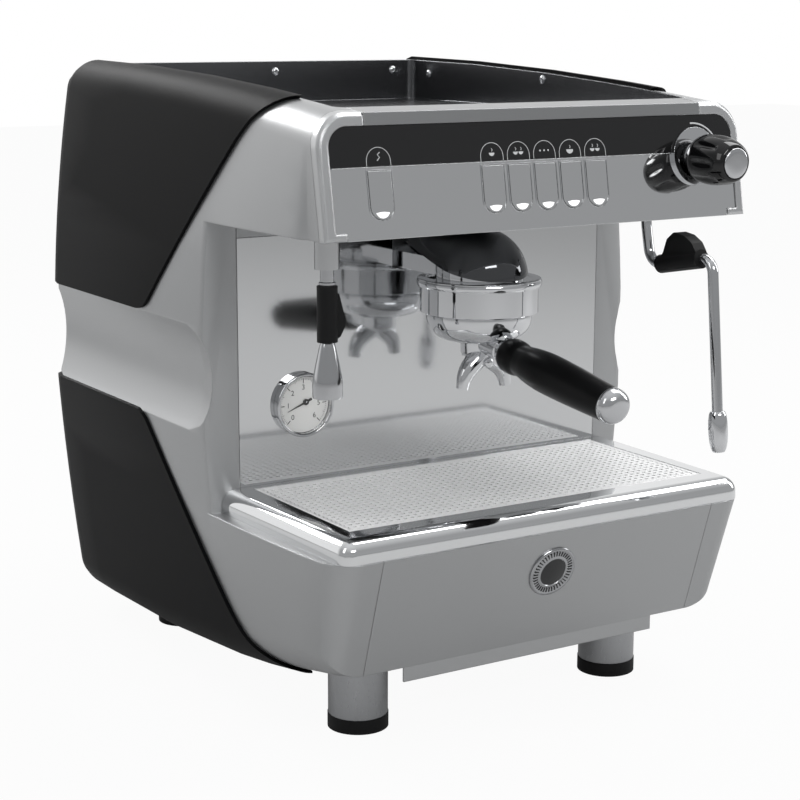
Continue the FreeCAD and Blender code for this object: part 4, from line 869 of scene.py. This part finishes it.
def bars(name, direction, count, first, last, long, wide, tall, level):
    """The mesh of one layer of like bars, a row of box-shaped strips, by a node tree."""
    holder = bpy.data.objects.new(name + "_maker", bpy.data.meshes.new(name))
    bpy.context.scene.collection.objects.link(holder)
    tree = bpy.data.node_groups.new(name + "_tree", "GeometryNodeTree")
    sockets = {}
    for label, kind in (("Count", "NodeSocketInt"), ("First", "NodeSocketVector"),
                        ("Step", "NodeSocketVector"), ("Bar", "NodeSocketVector")):
        made_socket = tree.interface.new_socket(label, in_out="INPUT", socket_type=kind)
        sockets[label] = made_socket.identifier
    tree.interface.new_socket("Grille", in_out="OUTPUT", socket_type="NodeSocketGeometry")
    inputs = add(tree, "NodeGroupInput")
    row = add(tree, "GeometryNodeMeshLine", {"Count": inputs.outputs["Count"],
                                             "Start Location": inputs.outputs["First"],
                                             "Offset": inputs.outputs["Step"]})
    bar = add(tree, "GeometryNodeMeshCube", {"Size": inputs.outputs["Bar"]})
    laid = add(tree, "GeometryNodeInstanceOnPoints",
               {"Points": row.outputs[0], "Instance": bar.outputs[0]})
    real = add(tree, "GeometryNodeRealizeInstances", {"Geometry": laid.outputs[0]})
    dress = add(tree, "GeometryNodeSetMaterial",
                {"Geometry": real.outputs[0], "Material": strip_steel})
    add(tree, "NodeGroupOutput", {0: dress.outputs[0]})
    maker = holder.modifiers.new("maker", "NODES")
    maker.node_group = tree
    step = (last - first) / (count - 1) / 1000
    if direction == "X":
        start, move, size = at(middle_x, first, level), (0, step, 0), (long, wide, tall)
    else:
        start, move, size = at(first, middle_y, level), (step, 0, 0), (wide, long, tall)
    maker[sockets["Count"]] = count
    maker[sockets["First"]] = start
    maker[sockets["Step"]] = move
    maker[sockets["Bar"]] = tuple(v / 1000 for v in size)
    return frozen(holder, maker)


wide_x = grille_right - grille_left
wide_y = grille_back - grille_front
field, rim, rim_wide, rim_tall = 8.0, 2.5, 5.0, 3.0
layers = [bars("cross_bars", "X", 22, grille_front + field, grille_back - field, wide_x - field,
               3.9, 1.2, grille_top - 0.6),
          bars("long_bars", "Y", 52, grille_left + field, grille_right - field, wide_y - field,
               3.4, 1.4, grille_top - 0.72),
          bars("edge_x", "X", 2, grille_front + rim, grille_back - rim, wide_x,
               rim_wide, rim_tall, grille_top - rim_tall / 2),
          bars("edge_y", "Y", 2, grille_left + rim, grille_right - rim, wide_y - 2 * rim_wide,
               rim_wide, rim_tall, grille_top - rim_tall / 2)]
grille_points = []
grille_faces = []
for layer in layers:
    grille_faces += [[i + len(grille_points) for i in f.vertices] for f in layer.polygons]
    grille_points += [v.co.copy() for v in layer.vertices]
grille_mesh = bpy.data.meshes.new("tray_grille")
grille_mesh.from_pydata([tuple(p) for p in grille_points], [], grille_faces)
grille_mesh.materials.append(strip_steel)
grille = bpy.data.objects.new("tray_grille", grille_mesh)
bpy.context.scene.collection.objects.link(grille)
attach(grille, "grille")
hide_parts("drip_grille")

# Badge: a plain struck disc on the base front, a bright milled ring round a dark enamelled middle.
# The milling's grooves are drawn as painted shade: a ring of small dark wedges between two raised
# edges.

panel_slope = 0.30588
slant = math.atan(panel_slope)
badge_way = Vector((0, -math.cos(slant), -math.sin(slant)))
badge_place = at(4.0, -183.482, 133.0)
struck = metal("struck satin chrome", "#A9AAAC", 0.16, 0.02, 1.0, 0.0, 0.3)
disc_outline = [(0, 0), (22.4, 0), (22.5, 1.0), (21.8, 1.9), (20.6, 2.2), (19.8, 1.7),
                (14.4, 1.7), (13.8, 2.2), (12.8, 2.2), (12.3, 1.5), (0, 1.4)]
made("badge", [lathe(disc_outline, badge_place, badge_way, 96)], struck, "housing",
     slot_of["badge_disc"], ("badge_disc",), 40)
# Vitreous enamel in the middle: near black, glossy, slightly domed. The same dark finish also
# paints the shade in the milling's grooves.
enamel_and_groove_shade = finish_of("dark vitreous enamel", Base_Color=linear("#1F2021"), Roughness=0.18)[0]
middle_outline = [(0, 1.3), (12.2, 1.3), (12.2, 1.7), (8.0, 2.3), (4.0, 2.6), (0, 2.7)]
made("badge_middle", [lathe(middle_outline, badge_place, badge_way, 64)], enamel_and_groove_shade, "housing",
     slot_of["badge_disc"])
# One tooth is a small dark wedge of painted groove shade, wider at its outer end. It goes round
# the ring forty times.
tooth_plan = [(-0.0004, -0.0019), (0.0004, -0.0019), (0.0006, 0.0019), (-0.0006, 0.0019)]
tooth = [Vector((x, y, z)) for z in (0, 0.0004) for x, y in tooth_plan]
tooth_faces = [[3, 2, 1, 0], [4, 5, 6, 7], [0, 1, 5, 4], [1, 2, 6, 5], [2, 3, 7, 6], [3, 0, 4, 7]]
tooth_count, tooth_radius, tooth_lift = 40, 0.0171, 0.00165
groove_shade_teeth = []
right = Vector((1, 0, 0))
up = right.cross(badge_way)
for i in range(tooth_count):
    t = 2 * math.pi * i / tooth_count
    ray = right * math.cos(t) - up * math.sin(t)
    frame_of = Matrix((badge_way.cross(ray), ray, badge_way)).transposed().to_4x4()
    middle = badge_place + ray * tooth_radius + badge_way * tooth_lift
    place = Matrix.Translation(middle) @ frame_of
    groove_shade_teeth.append(([place @ corner for corner in tooth], tooth_faces))
made("badge_milling", groove_shade_teeth, enamel_and_groove_shade, "housing", slot_of["badge_disc"])

# Feet: four turned tubes of satin stainless steel on moulded rubber pads. A fine grain runs along
# each tube.

dressed("feet", metal("satin turned stainless tube", "#A5A6A8", 0.3, 0.03, 0.7, 0.02,
                      stretch=(1.0, 1.0, 0.1)), 40)
dressed("foot_pads", rubber, 40)

# Working parts inside and underneath: the welded frame, copper drum, pump, control box and the
# water and power connections on the back.

# Galvanised sheet: dull blue-grey, clouded by its spangle.
zinc = metal("galvanised sheet", "#9A9C9E", 0.42, 0.08, 6.0, 0.05)
for node in ("underside_pan", "chassis", "control_box"):
    dressed(node, zinc)
# Bare copper drum: warm, dull, clouded by heat.
dressed("boiler", metal("bare copper drum", "#B97A57", 0.35, 0.08, 14.0, 0.03))
# Enamelled casting: slate grey with a slight orange peel.
dressed("pump_motor", metal("enamelled motor casting", "#4C4F52", 0.4, 0.05, 3.0, 0.05,
                            metallic=0.3))
# Turned brass of the stubs: yellow and soft where hands and spanners have dulled it.
brass = metal("turned brass stub", "#B79A5B", 0.25, 0.05, 1.0, 0.01, 0.3)
for node in ("water_inlet", "drain_spigot"):
    dressed(node, brass)
# Black polyamide: plain and dull.
dressed("cable_gland", finish_of("black polyamide gland", Base_Color=linear("#19191A"),
                                 Roughness=0.45)[0])
